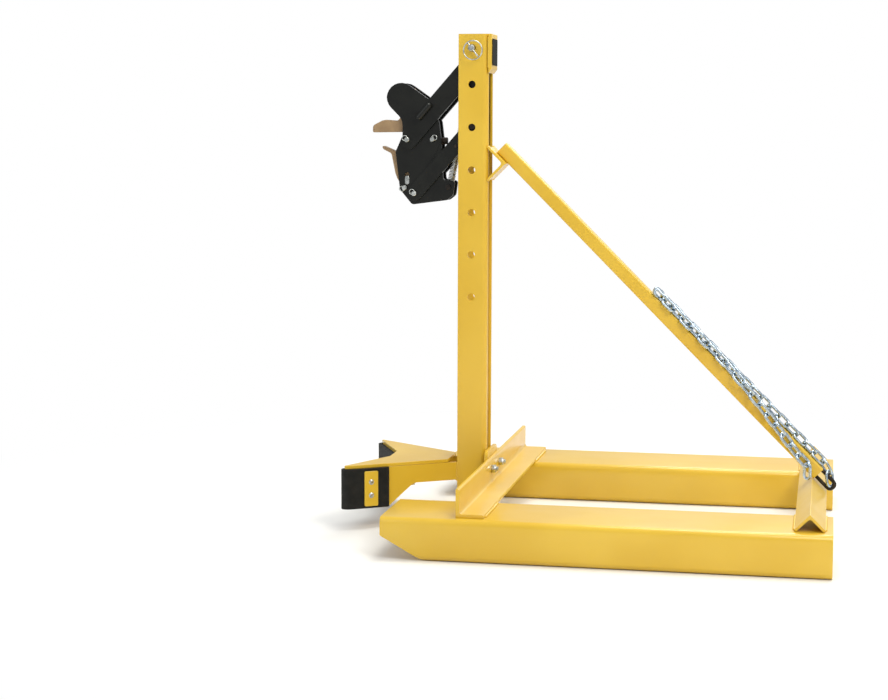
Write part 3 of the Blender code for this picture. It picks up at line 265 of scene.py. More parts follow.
def box_section(width, height, corner, knee):
    """A rounded rectangle: four quarter turns about the corner centres, with one more point on each
    upright side at the knee's height, where the nose cut starts."""
    count = 10
    t = np.linspace(0, np.pi / 2, count)
    quarter = np.concatenate([t + k * np.pi / 2 for k in range(4)])
    sx = np.repeat([1, -1, -1, 1], count)
    sy = np.repeat([1, 1, -1, -1], count)
    loop = np.stack([sx * (width / 2 - corner) + corner * np.cos(quarter),
                     sy * (height / 2 - corner) + corner * np.sin(quarter)], -1)
    left, right = [[-width / 2, knee]], [[width / 2, knee]]
    return np.concatenate([loop[:2 * count], left, loop[2 * count:], right])


# Two fork tubes: 7 by 3 inch rolled hollow section, sawn square at the back, with the lower front
# corner flame-cut away so that it rides over bumps. Both ends stay open for the forks.
NOSE_HEIGHT, NOSE_RUN = 0.0428, 0.0771
FORK_WALL, FORK_CORNER, FORK_INNER_CORNER, SAWN_RIM = 0.00635, 0.011, 0.004, 0.0007


def tube_rims(wall, rim):
    """The closed path round a tube's wall: out along its outer face, over one rim, back along its
    inner face and over the other. It gives each loop's inset, its end and its pull off that end."""
    inset = np.array([0.0, 0.0, 0.3 * rim, rim, wall - rim, wall - 0.3 * rim, wall, wall,
                      wall - 0.3 * rim, wall - rim, rim, 0.3 * rim])
    along = np.array([0.0, 1.0, 1.0, 1.0, 1.0, 1.0, 1.0, 0.0, 0.0, 0.0, 0.0, 0.0])
    pull = np.array([rim, -rim, -0.3 * rim, 0, 0, -0.3 * rim, -rim, rim, 0.3 * rim, 0, 0, 0.3 * rim])
    return inset, along, pull


def fork_tube(side):
    """A closed tube wall: the section's walls carried from the sawn back to the cut nose and home
    inside, each rim turned by a small round. The nose plane is x = front + run (1 - z / rise)."""
    low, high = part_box(f"{side}_fork_tube")
    width, height = high.y - low.y, high.z - low.z
    inset, along, pull = tube_rims(FORK_WALL, SAWN_RIM)
    knee = NOSE_HEIGHT - height / 2
    loops = np.array([box_section(width - 2 * d, height - 2 * d, max(FORK_CORNER - d, FORK_INNER_CORNER),
                                  knee) for d in inset])
    y = loops[..., 0] + (low.y + high.y) / 2
    z = loops[..., 1] + (low.z + high.z) / 2
    nose = low.x + np.maximum(0, 1 - z / NOSE_HEIGHT) * NOSE_RUN
    x = np.where(along[:, None] > 0.5, high.x, nose) + pull[:, None]
    grid = np.stack([x, y, z], -1)
    rows, columns = grid.shape[:2]
    faces = sheet_faces(rows, columns, True, True)
    return shown(f"{side}_tube_wall", grid, faces[:, ::-1], yellow_enamel, "frame",
                 [f"{side}_fork_tube"], sharp=50)


for side in ("near", "far"):
    fork_tube(side)


# Angles, plates and formed rails: flame-cut, sheared and folded steel keeps the frame's own outline.
# Paint only eases its sheared edges, so each is a merged copy of its solid with a small round.
FOLD_DEGREES, SAME_POINT, SAME_PLANE = 32, 2e-6, 0.01


def eased(node, material, ease_mm=0.6):
    """A merged copy of a frame solid with its flat faces made whole and its edges rounded."""
    copy = bmesh.new()
    copy.from_mesh(nodes[node].data)
    bmesh.ops.remove_doubles(copy, verts=copy.verts, dist=SAME_POINT)
    bmesh.ops.dissolve_limit(copy, angle_limit=SAME_PLANE, verts=copy.verts, edges=copy.edges)
    mesh = bpy.data.meshes.new(f"{node}_eased")
    copy.to_mesh(mesh)
    copy.free()
    mesh.materials.clear()
    mesh.materials.append(material)
    mesh.shade_smooth()
    mesh.set_sharp_from_angle(angle=np.radians(FOLD_DEGREES))
    piece = bpy.data.objects.new(f"{node}_eased", mesh)
    bpy.context.scene.collection.objects.link(piece)
    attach(piece, nodes[node]["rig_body"])
    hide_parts(node)
    round_edges = piece.modifiers.new("eased_edges", "BEVEL")
    round_edges.width = ease_mm * 0.001
    round_edges.segments = 2
    round_edges.limit_method = "ANGLE"
    round_edges.angle_limit = np.radians(FOLD_DEGREES)
    round_edges.use_clamp_overlap = True
    return piece


for node in ("front_cross_angle", "rear_cross_angle", "mast_near_rail", "mast_far_rail",
             "mast_top_strap", "mast_base_plate", "brace_bracket", "cradle_top_plate",
             "cradle_saddle", "cradle_near_wall", "cradle_far_wall", "near_belt_clamp",
             "far_belt_clamp"):
    eased(node, yellow_enamel)


# Brace: 1 inch square tube, sawn square, laid at 45 degrees from the mast's V bracket down to the
# ridge of the rear angle, and welded on its underside.
BRACE_SIZE, BRACE_CORNER, BRACE_INNER_CORNER, BRACE_WALL, BRACE_RIM = 0.0254, 0.0035, 0.0008, 0.003, 0.0005


def square_tube(node, size):
    """The section's loops carried down the brace: p = top + way s + Y u + normal v, where (u, v) is
    the rounded square and s is one of the two ends, pulled in at the rims."""
    low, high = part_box(node)
    slant = size / np.sqrt(2)
    top = np.array([low.x, 0.0, high.z - slant])
    foot = np.array([high.x - slant, 0.0, low.z])
    way = (foot - top) / np.linalg.norm(foot - top)
    normal = np.array([-way[2], 0.0, way[0]])
    inset, along, pull = tube_rims(BRACE_WALL, BRACE_RIM)
    loops = np.array([box_section(size - 2 * d, size - 2 * d, max(BRACE_CORNER - d, BRACE_INNER_CORNER),
                                  0.0) for d in inset])
    s = along * np.linalg.norm(foot - top) + pull
    sideways = loops[..., :1] * np.array([0.0, 1.0, 0.0])
    grid = top + s[:, None, None] * way + sideways + (loops[..., 1:] + size / 2) * normal
    faces = sheet_faces(*grid.shape[:2], True, True)
    return shown(f"{node}_wall", grid, faces, yellow_enamel, "frame", [node], sharp=50)


square_tube("brace_tube", BRACE_SIZE)


# Fillet welds: the frame is joined by hand-laid beads about 5 mm wide, painted over with the rest.
# Each is a round bead in its corner, with the ripples of the weld pool about every 3 mm.
RIPPLE, RIPPLE_SWELL, BEAD_SIDES = 0.0031, 0.09, 10


def bead(start, end, radius=0.0026):
    """A bead from start to end: p(s, a) = start + s (end - start) + r(s) (cos a U + sin a V), where
    r swells by a tenth at each ripple and falls to nothing in a short round at both ends."""
    start, end = np.asarray(start, float), np.asarray(end, float)
    length = np.linalg.norm(end - start)
    ahead = (end - start) / length
    s = np.linspace(0.0, length, int(length / RIPPLE * 5) + 8)
    near_end = np.clip(np.minimum(s, length - s) / radius, 0.0, 1.0)
    swell = radius * (1.0 + RIPPLE_SWELL * np.sin(2 * np.pi * s / RIPPLE))
    r = swell * np.sqrt(np.clip(1.0 - (1.0 - near_end) ** 2, 0.01, 1.0))
    any_way = [0.31, 0.52, 0.79]
    u = np.cross(ahead, any_way)
    u /= np.linalg.norm(u)
    v = np.cross(ahead, u)
    a = np.arange(BEAD_SIDES) * 2 * np.pi / BEAD_SIDES
    ring = np.cos(a)[:, None] * u + np.sin(a)[:, None] * v
    points = start + s[:, None, None] * ahead + r[:, None, None] * ring
    return capped(points)


def capped(points):
    """The closed tube on a grid of rings: its quads, and one face over each end ring."""
    rows, sides = points.shape[:2]
    faces = sheet_faces(rows, sides, False, True).tolist()
    faces.append(list(range(sides))[::-1])
    faces.append([(rows - 1) * sides + j for j in range(sides)])
    return points.reshape(-1, 3), faces


def gathered(parts):
    """Several closed shapes as one mesh, each one's faces counted on from the last."""
    verts, faces, count = [], [], 0
    for points, quads in parts:
        verts.append(np.asarray(points).reshape(-1, 3))
        faces += [[count + i for i in face] for face in quads]
        count += len(verts[-1])
    return np.concatenate(verts), faces


def weld_run(name, seams):
    """One piece that holds the beads along these seams."""
    verts, faces = gathered([bead(*seam) for seam in seams])
    return shown(name, verts, faces, yellow_enamel, "frame")


# Both cross angles: a bead along each toe, where it crosses a fork tube's flat top.
TUBE_SETBACK, DECK_LIFT = 0.014, 0.0006
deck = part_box("near_fork_tube")[1].z + DECK_LIFT
for place in ("front", "rear"):
    low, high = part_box(f"{place}_cross_angle")
    seams = []
    for side in ("near", "far"):
        tube_low, tube_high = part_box(f"{side}_fork_tube")
        y_from = max(tube_low.y, low.y) + TUBE_SETBACK
        y_to = min(tube_high.y, high.y) - TUBE_SETBACK
        seams += [((x, y_from, deck), (x, y_to, deck)) for x in (low.x, high.x)]
    weld_run(f"{place}_angle_welds", seams)

# Mast: short upright beads on the cradle's walls and the top strap, level ones on the V bracket.
EDGE_INSET, CRADLE_RUN, STRAP_BEAD, BRACKET_FROM, BRACKET_TO = 0.0012, 0.032, 0.0015, 0.62, 0.98
rail_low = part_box("mast_near_rail")[0]
cradle_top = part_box("cradle_near_wall")[1].z
seam_x, seam_y = rail_low.x - 0.0004, abs(rail_low.y) - EDGE_INSET
weld_run("cradle_welds", [((seam_x, side * seam_y, cradle_top - CRADLE_RUN),
                           (seam_x, side * seam_y, cradle_top - 0.001)) for side in (-1, 1)])
low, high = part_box("brace_bracket")
seam_x, half = low.x + 0.0004, abs(low.y)
weld_run("bracket_welds", [((seam_x, side * half * BRACKET_FROM, z), (seam_x, side * half * BRACKET_TO, z))
                           for side in (-1, 1) for z in (low.z + 0.0008, high.z - 0.0008)])
low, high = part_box("mast_top_strap")
seam_x, seam_y = low.x - 0.0002, abs(low.y) - EDGE_INSET
weld_run("strap_welds", [((seam_x, side * seam_y, low.z + 0.01), (seam_x, side * seam_y, high.z - 0.006),
                          STRAP_BEAD) for side in (-1, 1)])

# Black linkage plates: the carriage, arms and head are flame-cut plate under satin black enamel,
# dipped before assembly, with slightly uneven gloss and soft highlights.


def satin_black_enamel():
    """Near black that drifts over 40 mm, its gloss over 18 mm, greyer where the plates have rubbed."""
    material, tree, shader, where = shader_of("satin_black_enamel")
    drift = ramp(tree, noise_at(tree, where, 40, 5.0), 0.3, 0.7)
    colour = blend_colours(tree, drift, "#0F100D", "#171814")
    rubbed = ramp(tree, noise_at(tree, where, 9, 8.0, 0.7), 0.68, 0.78)
    colour = blend_colours(tree, rubbed, colour, "#2A2A26")
    tree.links.new(colour, shader.inputs["Base Color"])
    gloss = add(tree, "ShaderNodeMapRange", {"Value": noise_at(tree, where, 18, 4.0),
                                             "To Min": 0.22, "To Max": 0.42})
    tree.links.new(gloss.outputs["Result"], shader.inputs["Roughness"])
    shader.inputs["Specular IOR Level"].default_value = 0.3
    relief(tree, shader, noise_at(tree, where, 2.4, 3.0), 0.06, 0.4)
    return material


black_enamel = satin_black_enamel()
for node in ("carriage", "lower_arm_near", "lower_arm_far", "upper_arm_near", "upper_arm_far",
             "head_near_plate", "head_far_plate"):
    eased(node, black_enamel, 0.5)


# The plate on the mast's head is matt black anodised sheet, left blank.
def matt_black_anodised():
    """A dull etched black with a grain of 1.5 mm and hardly any shine."""
    material, tree, shader, where = shader_of("matt_black_anodised")
    grain = noise_at(tree, where, 1.5, 2.0)
    tree.links.new(blend_colours(tree, grain, "#0F120E", "#191C17"), shader.inputs["Base Color"])
    shader.inputs["Roughness"].default_value = 0.7
    shader.inputs["Specular IOR Level"].default_value = 0.12
    return material


eased("blank_data_plate", matt_black_anodised(), 0.2)

# Zinc-plated pins, bolts and rings: turned and headed steel hardware, plated in a barrel after making.
# The lower jaw's key is the one flat piece among it.
def bright_zinc_plate(name, low, high, roughness):
    """A cool bright metal with a faint cloudy bloom of 7 mm, duller where the bloom is pale."""
    material, tree, shader, where = shader_of(name)
    bloom = ramp(tree, noise_at(tree, where, 7, 5.0, 0.6), 0.3, 0.7)
    tree.links.new(blend_colours(tree, bloom, low, high), shader.inputs["Base Color"])
    shader.inputs["Metallic"].default_value = 1.0
    gloss = add(tree, "ShaderNodeMapRange", {"Value": bloom, "To Min": roughness,
                                             "To Max": roughness + 0.12})
    tree.links.new(gloss.outputs["Result"], shader.inputs["Roughness"])
    return material


zinc = bright_zinc_plate("bright_zinc_plate", "#AEB2AE", "#D3D6D2", 0.24)
eased("jaw_key", zinc, 0.4)


def turned(centre, axis, heights, radii, sides=40, closed=False):
    """A turned piece: p(s, a) = centre + axis h(s) + r(s, a) (cos a U + sin a V), with U and V square
    to the axis. A closed profile runs up outside and down inside, as on a nut."""
    axis = np.asarray(axis, float) / np.linalg.norm(axis)
    u = np.array([0.0, 1.0, 0.0]) if abs(axis[1]) < 0.9 else np.array([1.0, 0.0, 0.0])
    u = u - axis * (u @ axis)
    u /= np.linalg.norm(u)
    v = np.cross(axis, u)
    a = np.arange(sides) * 2 * np.pi / sides
    radii = np.broadcast_to(np.asarray(radii, float).reshape(len(heights), -1), (len(heights), sides))
    spoke = np.cos(a)[:, None] * u + np.sin(a)[:, None] * v
    points = np.asarray(centre, float) + np.asarray(heights, float)[:, None, None] * axis \
        + radii[..., None] * spoke
    if closed:
        return points.reshape(-1, 3), sheet_faces(len(heights), sides, True, True).tolist()
    return capped(points)


HEX_SIDES = 48


def hexagon_radius(across_flats):
    """A hexagon's radius at each angle: half its flats over the cosine of the angle from a flat."""
    a = np.arange(HEX_SIDES) * 2 * np.pi / HEX_SIDES
    return across_flats / 2 / np.cos(np.mod(a, np.pi / 3) - np.pi / 6)


def oiled_black_steel():
    """Hot-oiled steel: a brownish black metal, cloudy over 12 mm, with a dull sheen."""
    material, tree, shader, where = shader_of("oiled_black_steel")
    cloud = ramp(tree, noise_at(tree, where, 12, 5.0), 0.35, 0.65)
    colour = blend_colours(tree, cloud, "#2A2623", "#433B35")
    tree.links.new(colour, shader.inputs["Base Color"])
    shader.inputs["Metallic"].default_value = 0.8
    shader.inputs["Roughness"].default_value = 0.42
    return material


black_steel = oiled_black_steel()


# Round pins: turned bar with a small chamfer at each end, running across the linkage along Y.
# The pivots and the spring pins are oiled black, the clevis pins and the height pin zinc plated.
PIVOT, SPRING_PIN, CLEVIS, CLEVIS_HEAD, HEIGHT_PIN = 0.00625, 0.00295, 0.00472, 0.00785, 0.00628
HEAD_HEIGHT, HEAD_ROUND = 0.003, 0.0005


def middle_of(node):
    """The middle of a frame solid's box, with its two corners."""
    low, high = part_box(node)
    return (low + high) / 2, low, high


def cross_pin(node, radius, body, chamfer=0.0008, collar=None, finish=(zinc, "zinc_plate")):
    """A pin along Y, chamfered at both ends, with a flat head of the collar's radius at its far end
    if it has one."""
    middle, low, high = middle_of(node)
    end = high.y - (HEAD_HEIGHT if collar else 0.0)
    heights = [low.y, low.y + chamfer, end - (0 if collar else chamfer), end]
    radii = [radius - chamfer, radius, radius, radius if collar else radius - chamfer]
    if collar:
        heights += [end, end + HEAD_ROUND, high.y - HEAD_ROUND, high.y]
        radii += [collar - HEAD_ROUND, collar, collar, collar - HEAD_ROUND]
    verts, faces = turned((middle.x, 0, middle.z), (0, 1, 0), heights, radii)
    return shown(f"{node}_turned", verts, faces, finish[0], body, [node], sharp=35)


oiled = (black_steel, "black_oxide_steel")
for node in ("upper_pivot_pin", "lower_pivot_pin"):
    cross_pin(node, PIVOT, nodes[node]["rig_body"], finish=oiled)
for node in ("carriage_spring_pin", "arm_spring_pin"):
    cross_pin(node, SPRING_PIN, nodes[node]["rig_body"], 0.0005, finish=oiled)
for node in ("upper_link", "lower_link", "stop_block", "jaw_rest"):
    cross_pin(f"{node}_pin", CLEVIS, "head", 0.0009, CLEVIS_HEAD)
cross_pin("height_pin", HEIGHT_PIN, "height_pin", 0.0012)


# Ring cotters: hard spring wire bent round, its two ends held in the pin's cross hole.
COTTER_WIRE, COTTER_RADIUS, COTTER_OUT, COTTER_LEAD, COTTER_HALF_TURN = 0.00078, 0.0049, 0.0054, 0.0004, 148


def round_wire(path, radius, reference, sides=10, closed=False):
    """A wire along a path: p(s, a) = path(s) + radius (cos a U(s) + sin a V(s)), where U is square to
    the path and to a reference direction, and V completes the frame."""
    path = np.asarray(path, float)
    ahead = np.roll(path, -1, 0) - np.roll(path, 1, 0) if closed else np.gradient(path, axis=0)
    ahead /= np.linalg.norm(ahead, axis=1, keepdims=True)
    u = np.cross(ahead, reference)
    u /= np.linalg.norm(u, axis=1, keepdims=True)
    v = np.cross(ahead, u)
    a = np.arange(sides) * 2 * np.pi / sides
    spoke = np.cos(a)[:, None] * u[:, None] + np.sin(a)[:, None] * v[:, None]
    points = path[:, None] + radius * spoke
    if closed:
        return points.reshape(-1, 3), sheet_faces(len(path), sides, True, True).tolist()
    return capped(points)


for node in ("upper_link", "lower_link", "stop_block", "jaw_rest"):
    pin_middle = middle_of(f"{node}_pin")[0]
    ring_middle = middle_of(f"{node}_cotter")[0]
    out = np.array([ring_middle.x - pin_middle.x, 0, ring_middle.z - pin_middle.z])
    out /= np.linalg.norm(out)
    side_way = np.cross(out, [0, 1, 0])
    t = np.radians(np.linspace(-COTTER_HALF_TURN, COTTER_HALF_TURN, 40))[:, None]
    centre = np.array([pin_middle.x, ring_middle.y, pin_middle.z]) + out * COTTER_OUT
    loop = centre + COTTER_RADIUS * (np.cos(t) * out + np.sin(t) * side_way) \
        + np.array([0, COTTER_LEAD, 0]) * np.sin(t / 2)
    verts, faces = round_wire(loop, COTTER_WIRE, np.array([0.0, 1.0, 0.0]))
    shown(f"{node}_ring_cotter", verts, faces, zinc, "head", [f"{node}_cotter"])

# Lock pin and pull ring: a spring-wire ring hung on the lock pin that keeps the height pin in.
# The lock pin is a short turned leg through the height pin's end, rounded where it comes out.
RING_WIRE, RING_INSET, LEG_DEGREES = 0.00125, 0.0015, 52
LEG_HEIGHTS = [-0.01188, -0.0114, 0.0190, 0.0208, 0.02112]
LEG_RADII = [0.0013, 0.00168, 0.00168, 0.0009, 0.0003]
ring_middle, ring_low, ring_high = middle_of("lock_ring")
ring_radius = (ring_high.x - ring_low.x) / 2 - RING_INSET
t = np.linspace(0, 2 * np.pi, 72, endpoint=False)[:, None]
loop = np.array(ring_middle) + ring_radius * (np.cos(t) * [1, 0, 0] + np.sin(t) * [0, 0, 1])
verts, faces = round_wire(loop, RING_WIRE, np.array([0.0, 1.0, 0.0]), 12, True)
shown("pull_ring", verts, faces, zinc, "lock_ring", ["lock_ring"])
leg_way = np.array([np.cos(np.radians(LEG_DEGREES)), 0, -np.sin(np.radians(LEG_DEGREES))])
height_middle = middle_of("height_pin")[0]
leg_y = middle_of("lock_pin")[0].y
verts, faces = turned((height_middle.x, leg_y, height_middle.z), leg_way, LEG_HEIGHTS, LEG_RADII, 20)
shown("lock_pin_leg", verts, faces, zinc, "height_pin", ["lock_pin"], sharp=40)

# Foot bolts and nuts: 3/8 inch hexagon heads with chamfered corners, cut threads past the nuts.
FLATS, SHANK, THREAD_PITCH, THREAD_DEPTH = 0.01429, 0.00476, 0.00159, 0.0005
BOLT_HEAD, HEAD_CHAMFER, BOLT_TIP, THREAD_LENGTH, NUT_CHAMFER = 0.006, 0.0008, 0.0012, 0.012, 0.0006
hexagon = hexagon_radius(FLATS)
rounded_hexagon = np.minimum(hexagon, FLATS / 2 * 1.03)
even = np.ones(HEX_SIDES)
for side in ("near", "far"):
    middle, low, high = middle_of(f"base_bolt_{side}")
    threads = np.linspace(high.x - THREAD_LENGTH, high.x - BOLT_TIP, 60)
    turn = np.arange(HEX_SIDES) / HEX_SIDES
    phase = np.mod(threads[:, None] / THREAD_PITCH - turn, 1.0)
    cut_radius = SHANK - THREAD_DEPTH * (1.0 - np.abs(2.0 * phase - 1.0))
    under_head = low.x + BOLT_HEAD
    heights = [low.x, low.x + HEAD_CHAMFER, under_head - 0.0005, under_head, under_head,
               high.x - THREAD_LENGTH - 0.0002, *threads, high.x]
    radii = [FLATS / 2 * 0.93 * even, rounded_hexagon, hexagon, rounded_hexagon * 0.97, SHANK * even,
             SHANK * even, *cut_radius, SHANK * 0.78 * even]
    verts, faces = turned((0, middle.y, middle.z), (1, 0, 0), heights, np.array(radii), HEX_SIDES)
    shown(f"foot_bolt_{side}", verts, faces, zinc, "frame", [f"base_bolt_{side}"], sharp=35)
    middle, low, high = middle_of(f"base_nut_{side}")
    bore = SHANK + 0.0003
    mouth = (bore + NUT_CHAMFER) * even
    heights = [low.x, low.x + NUT_CHAMFER, high.x - 0.0009, high.x, high.x, high.x - NUT_CHAMFER,
               low.x + NUT_CHAMFER, low.x]
    radii = [rounded_hexagon * 0.97, hexagon, hexagon, FLATS / 2 * 0.94 * even, mouth,
             bore * even, bore * even, mouth]
    verts, faces = turned((0, middle.y, middle.z), (1, 0, 0), heights, np.array(radii), HEX_SIDES, True)
    shown(f"foot_nut_{side}", verts, faces, zinc, "frame", [f"base_nut_{side}"], sharp=35)

# Belt screws: flanged hexagon heads, two through each clamp strip, square to the cradle's side.
WALL_WAY = np.array([0.82924, 0.55891])
FLANGE, SCREW_FLATS, SCREW_RISE = 0.0052, 0.0078, 0.0028
small_hexagon = hexagon_radius(SCREW_FLATS)
for side, sign in (("near", -1), ("far", 1)):
    for level in ("low", "high"):
        node = f"{side}_belt_clamp_{level}_screw"
        outward = np.array([WALL_WAY[1], sign * WALL_WAY[0], 0.0])
        foot = np.array(middle_of(node)[0]) - outward * SCREW_RISE * 0.5
        heights = [0, 0.0005, 0.0009, 0.0012, SCREW_RISE - 0.0005, SCREW_RISE]
        radii = [FLANGE * 0.97 * even, FLANGE * even, FLANGE * 0.93 * even, small_hexagon, small_hexagon,
                 SCREW_FLATS / 2 * 0.92 * even]
        verts, faces = turned(foot, outward, heights, np.array(radii), HEX_SIDES)
        shown(f"{side}_belt_{level}_screw", verts, faces, zinc, "frame", [node], sharp=35)

# Tension springs: hard-drawn wire close-wound on a mandrel, each end bent to an eye round its pin.
WIRE, COIL, HOOK, EYE, EYE_SHIFT = 0.00095, 0.0062, 0.011, 0.0044, 0.0022
COIL_PITCH, EYE_STEPS, TURN_STEPS = 3.1, 24, 20


def tension_spring(name, low_node, high_node, node):
    """The eyes are arcs of 230 degrees about the pins, and the coil is p(t) = low + axis (hook + t
    body) + R (cos of the turn along Y + sin of the turn across), in a whole number of turns. It is
    built between the pins of the two bodies that its eyes hang on, and rides on neither."""
    low = np.array(middle_of(low_node)[0]) * [1, 0, 1]
    high = np.array(middle_of(high_node)[0]) * [1, 0, 1]
    axis = (high - low) / np.linalg.norm(high - low)
    y_way = np.array([0.0, 1.0, 0.0])
    cross = np.cross(axis, y_way)
    body = np.linalg.norm(high - low) - 2 * HOOK
    turns = round(body / (WIRE * COIL_PITCH))
    a = np.radians(np.linspace(-150, 80, EYE_STEPS))[:, None]
    low_eye = low + EYE * (np.sin(a) * cross - np.cos(a) * axis) + y_way * EYE_SHIFT
    t = np.linspace(0, 1, turns * TURN_STEPS + 1)[:, None]
    spin = 2 * np.pi * turns * t
    radial = np.cos(spin) * y_way + np.sin(spin) * cross
    coil = low + axis * (HOOK + body * t) + COIL * radial
    b = np.radians(np.linspace(100, 330, EYE_STEPS))[:, None]
    high_eye = high + EYE * (np.sin(b) * cross - np.cos(b) * axis) - y_way * EYE_SHIFT
    eye_reference = np.tile(y_way, (EYE_STEPS, 1))
    reference = np.concatenate([eye_reference, radial, eye_reference])
    verts, faces = round_wire(np.concatenate([low_eye, coil, high_eye]), WIRE, reference, 8)
    piece = shown(name, verts, faces, zinc, None, [node])
    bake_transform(piece)


tension_spring("carriage_tension_spring", "arm_spring_pin", "carriage_spring_pin",
               "carriage_spring")
tension_spring("head_tension_spring", "head_spring_bolt", "arm_spring_pin",
               "head_spring")

# Restraint chain: welded steel links of 7/32 inch wire, bright zinc plated, hung in the staple at the
# brace's foot. It lies up the brace's top, turns back and comes down over the near edge, and its last
# link hangs free.
chain_zinc = bright_zinc_plate("bluish_zinc_chain", "#9FB0BE", "#CAD8E4", 0.2)
LINK_WIRE, LINK_WIDTH, LINK_END = 0.0028, 0.0078, 0.0148
LINK_PITCH = 2 * (LINK_END - LINK_WIRE) + 0.0001
down_brace = np.array([1.0, 0.0, -1.0]) / np.sqrt(2)
off_brace = np.array([1.0, 0.0, 1.0]) / np.sqrt(2)
across_brace = np.array([0.0, 1.0, 0.0])
record_joints = frame["record"]["behaviour"]["joints"]
hinge = np.array([joint["pos_m"] for joint in record_joints if joint["name"] == "chain_lift"][0])
HINGE_OUT, HALF_BRACE, REST, MIDDLE_SHIFT = 0.01415, BRACE_SIZE / 2, 0.0084, 0.0042


def on_brace(up, y, out):
    """A place by its way up the brace from the staple, its y, and its height on the brace."""
    up, y, out = (np.asarray(v, float)[..., None] for v in (up, y, out))
    return hinge - down_brace * up + across_brace * y + off_brace * (out - HINGE_OUT)


def even_joints(path, count):
    """Joints one pitch apart along a path, by its running length."""
    run = np.concatenate([[0.0], np.cumsum(np.linalg.norm(np.diff(path, axis=0), axis=1))])
    at = np.arange(count) * LINK_PITCH
    return np.stack([np.interp(at, run, path[:, k]) for k in range(3)], -1)


# The run up climbs on to the brace within 24 mm. The run back rolls over the near edge between 170 and
# 300 mm from the turn, and sags by 13.5 mm below that.
UP_LINKS, BACK_LINKS, PATH_STEPS = 20, 18, 400
CLIMB, ROLL_FROM, ROLL_RUN, SAG_FROM, SAG_RUN, SAG = 0.024, 0.17, 0.13, 0.30, 0.11, 0.0135
up = np.linspace(-0.0015, (UP_LINKS + 1) * LINK_PITCH, PATH_STEPS)
rise = np.clip(up / CLIMB, 0, 1)
upward_run = on_brace(up, MIDDLE_SHIFT * rise, HINGE_OUT + (BRACE_SIZE + REST - HINGE_OUT) * rise)
joints = even_joints(upward_run, UP_LINKS + 1)
top_up = float((hinge - joints[-1]) @ down_brace)
turn_up = top_up + np.sqrt(LINK_PITCH ** 2 - (HALF_BRACE + MIDDLE_SHIFT) ** 2)
q = np.linspace(0, BACK_LINKS * LINK_PITCH + 0.02, PATH_STEPS)
round_edge = np.clip((q - ROLL_FROM) / ROLL_RUN, 0, 1) * np.pi / 2
sag = np.clip((q - SAG_FROM) / SAG_RUN, 0, 1) * SAG
back_run = on_brace(turn_up - q, -HALF_BRACE - REST * np.sin(round_edge),
                    BRACE_SIZE + REST * np.cos(round_edge) - sag)
back_joints = even_joints(back_run, BACK_LINKS + 1)
hanging = back_joints[-1] - np.array([0.0, 0.0, LINK_PITCH])
joints = np.concatenate([joints, back_joints, hanging[None]])
rolls = np.radians(np.where(np.arange(len(joints) - 1) % 2, -45.0, 45.0))


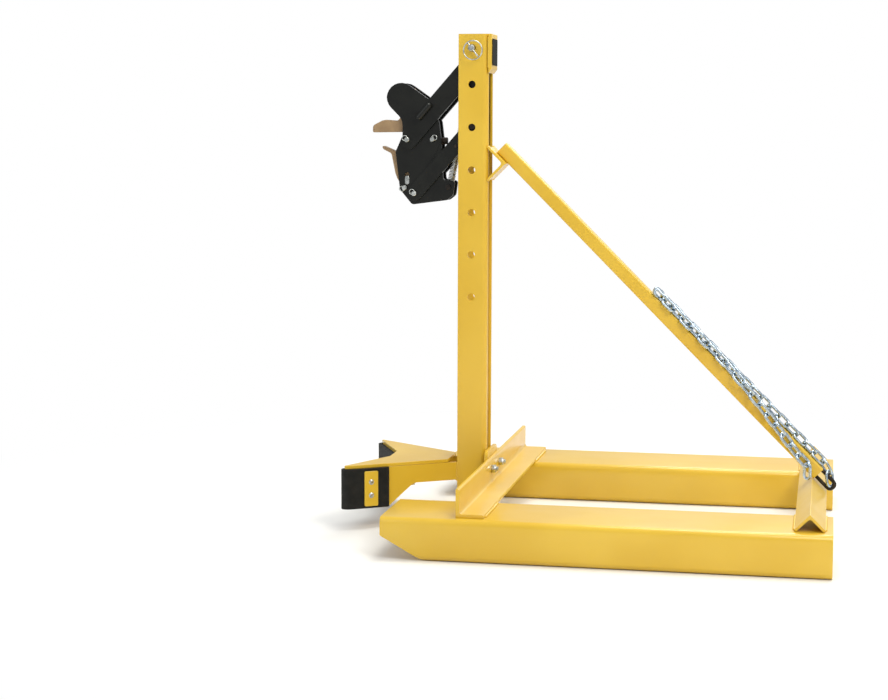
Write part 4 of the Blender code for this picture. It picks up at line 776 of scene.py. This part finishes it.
def welded_links(joints, rolls):
    """Links between joints: an oval of two half circles and two straights in each link's plane,
    thickened by the wire's circle: p = middle + along (u + w n_u cos a) + across (v + w n_v cos a)
    + normal w sin a, where (u, v) is the oval and n its outward normal."""
    around, sides = 28, 10
    middle = (joints[1:] + joints[:-1]) / 2
    along = joints[1:] - joints[:-1]
    along /= np.linalg.norm(along, axis=1, keepdims=True)
    flat = across_brace - along * (along @ across_brace)[:, None]
    flat /= np.linalg.norm(flat, axis=1, keepdims=True)
    lift = np.cross(flat, along)
    lift *= np.where(lift @ off_brace > 0, 1, -1)[:, None]
    across = flat * np.cos(rolls)[:, None] + lift * np.sin(rolls)[:, None]
    normal = np.cross(along, across)
    t = np.linspace(-np.pi / 2, np.pi / 2, around // 2)
    n_u = np.concatenate([np.cos(t), -np.cos(t)])
    n_v = np.concatenate([np.sin(t), -np.sin(t)])
    u = LINK_WIDTH * n_u + np.repeat([1, -1], around // 2) * (LINK_END - LINK_WIDTH)
    v = LINK_WIDTH * n_v
    a = np.arange(sides) * 2 * np.pi / sides
    du = u[:, None] + LINK_WIRE * n_u[:, None] * np.cos(a)
    dv = v[:, None] + LINK_WIRE * n_v[:, None] * np.cos(a)
    dn = np.broadcast_to(LINK_WIRE * np.sin(a), du.shape)
    points = middle[:, None, None] + along[:, None, None] * du[None, ..., None] \
        + across[:, None, None] * dv[None, ..., None] + normal[:, None, None] * dn[None, ..., None]
    one = sheet_faces(around, sides, True, True)[:, ::-1]
    faces = one[None] + (np.arange(len(middle)) * around * sides)[:, None, None]
    return points.reshape(-1, 3), faces.reshape(-1, 4).tolist()


verts, faces = welded_links(joints, rolls)
shown("restraint_chain", verts, faces, chain_zinc, "chain", ["chain"])

# Small oiled steel: the chain's staple, the head's spring bolt, and the stop block with its screw.
for node in ("chain_anchor", "head_spring_bolt", "stop_block", "stop_screw"):
    eased(node, black_steel, 0.3)

# Jaws: both are cast in tan urethane, slightly pitted, with rounded working edges. The upper one is
# held between the upper arms' cheeks, and the lower one slides on its key between the head's plates.
def cast_tan_urethane():
    """A matt warm tan, mottled over 24 mm, with dark specks of dirt in its pits."""
    material, tree, shader, where = shader_of("cast_tan_urethane")
    mottle = ramp(tree, noise_at(tree, where, 24, 5.0), 0.3, 0.7)
    colour = blend_colours(tree, mottle, "#8C7151", "#A0845F")
    specks = ramp(tree, noise_at(tree, where, 3.0, 6.0, 0.7), 0.66, 0.74)
    tree.links.new(blend_colours(tree, specks, colour, "#735A3C"), shader.inputs["Base Color"])
    shader.inputs["Roughness"].default_value = 0.55
    relief(tree, shader, noise_at(tree, where, 2.0, 4.0), 0.12, 0.5)
    return material


tan_urethane = cast_tan_urethane()
for node in ("upper_jaw", "lower_jaw"):
    eased(node, tan_urethane, 1.6)


# Cradle belt: stiff black rubber belting over fabric plies, bent round the saddle and held at its
# ends under the two clamp strips.
def ply_belting():
    """A dusty black rubber, cloudy over 14 mm, with a fabric-fine roughness and no shine."""
    material, tree, shader, where = shader_of("ply_belting")
    dust = ramp(tree, noise_at(tree, where, 14, 6.0), 0.35, 0.7)
    colour = blend_colours(tree, dust, "#121310", "#1D1D1A")
    tree.links.new(colour, shader.inputs["Base Color"])
    shader.inputs["Roughness"].default_value = 0.78
    shader.inputs["Specular IOR Level"].default_value = 0.3
    relief(tree, shader, noise_at(tree, where, 1.6, 3.0), 0.15, 0.6)
    return material


eased("cradle_belt", ply_belting(), 1.2)
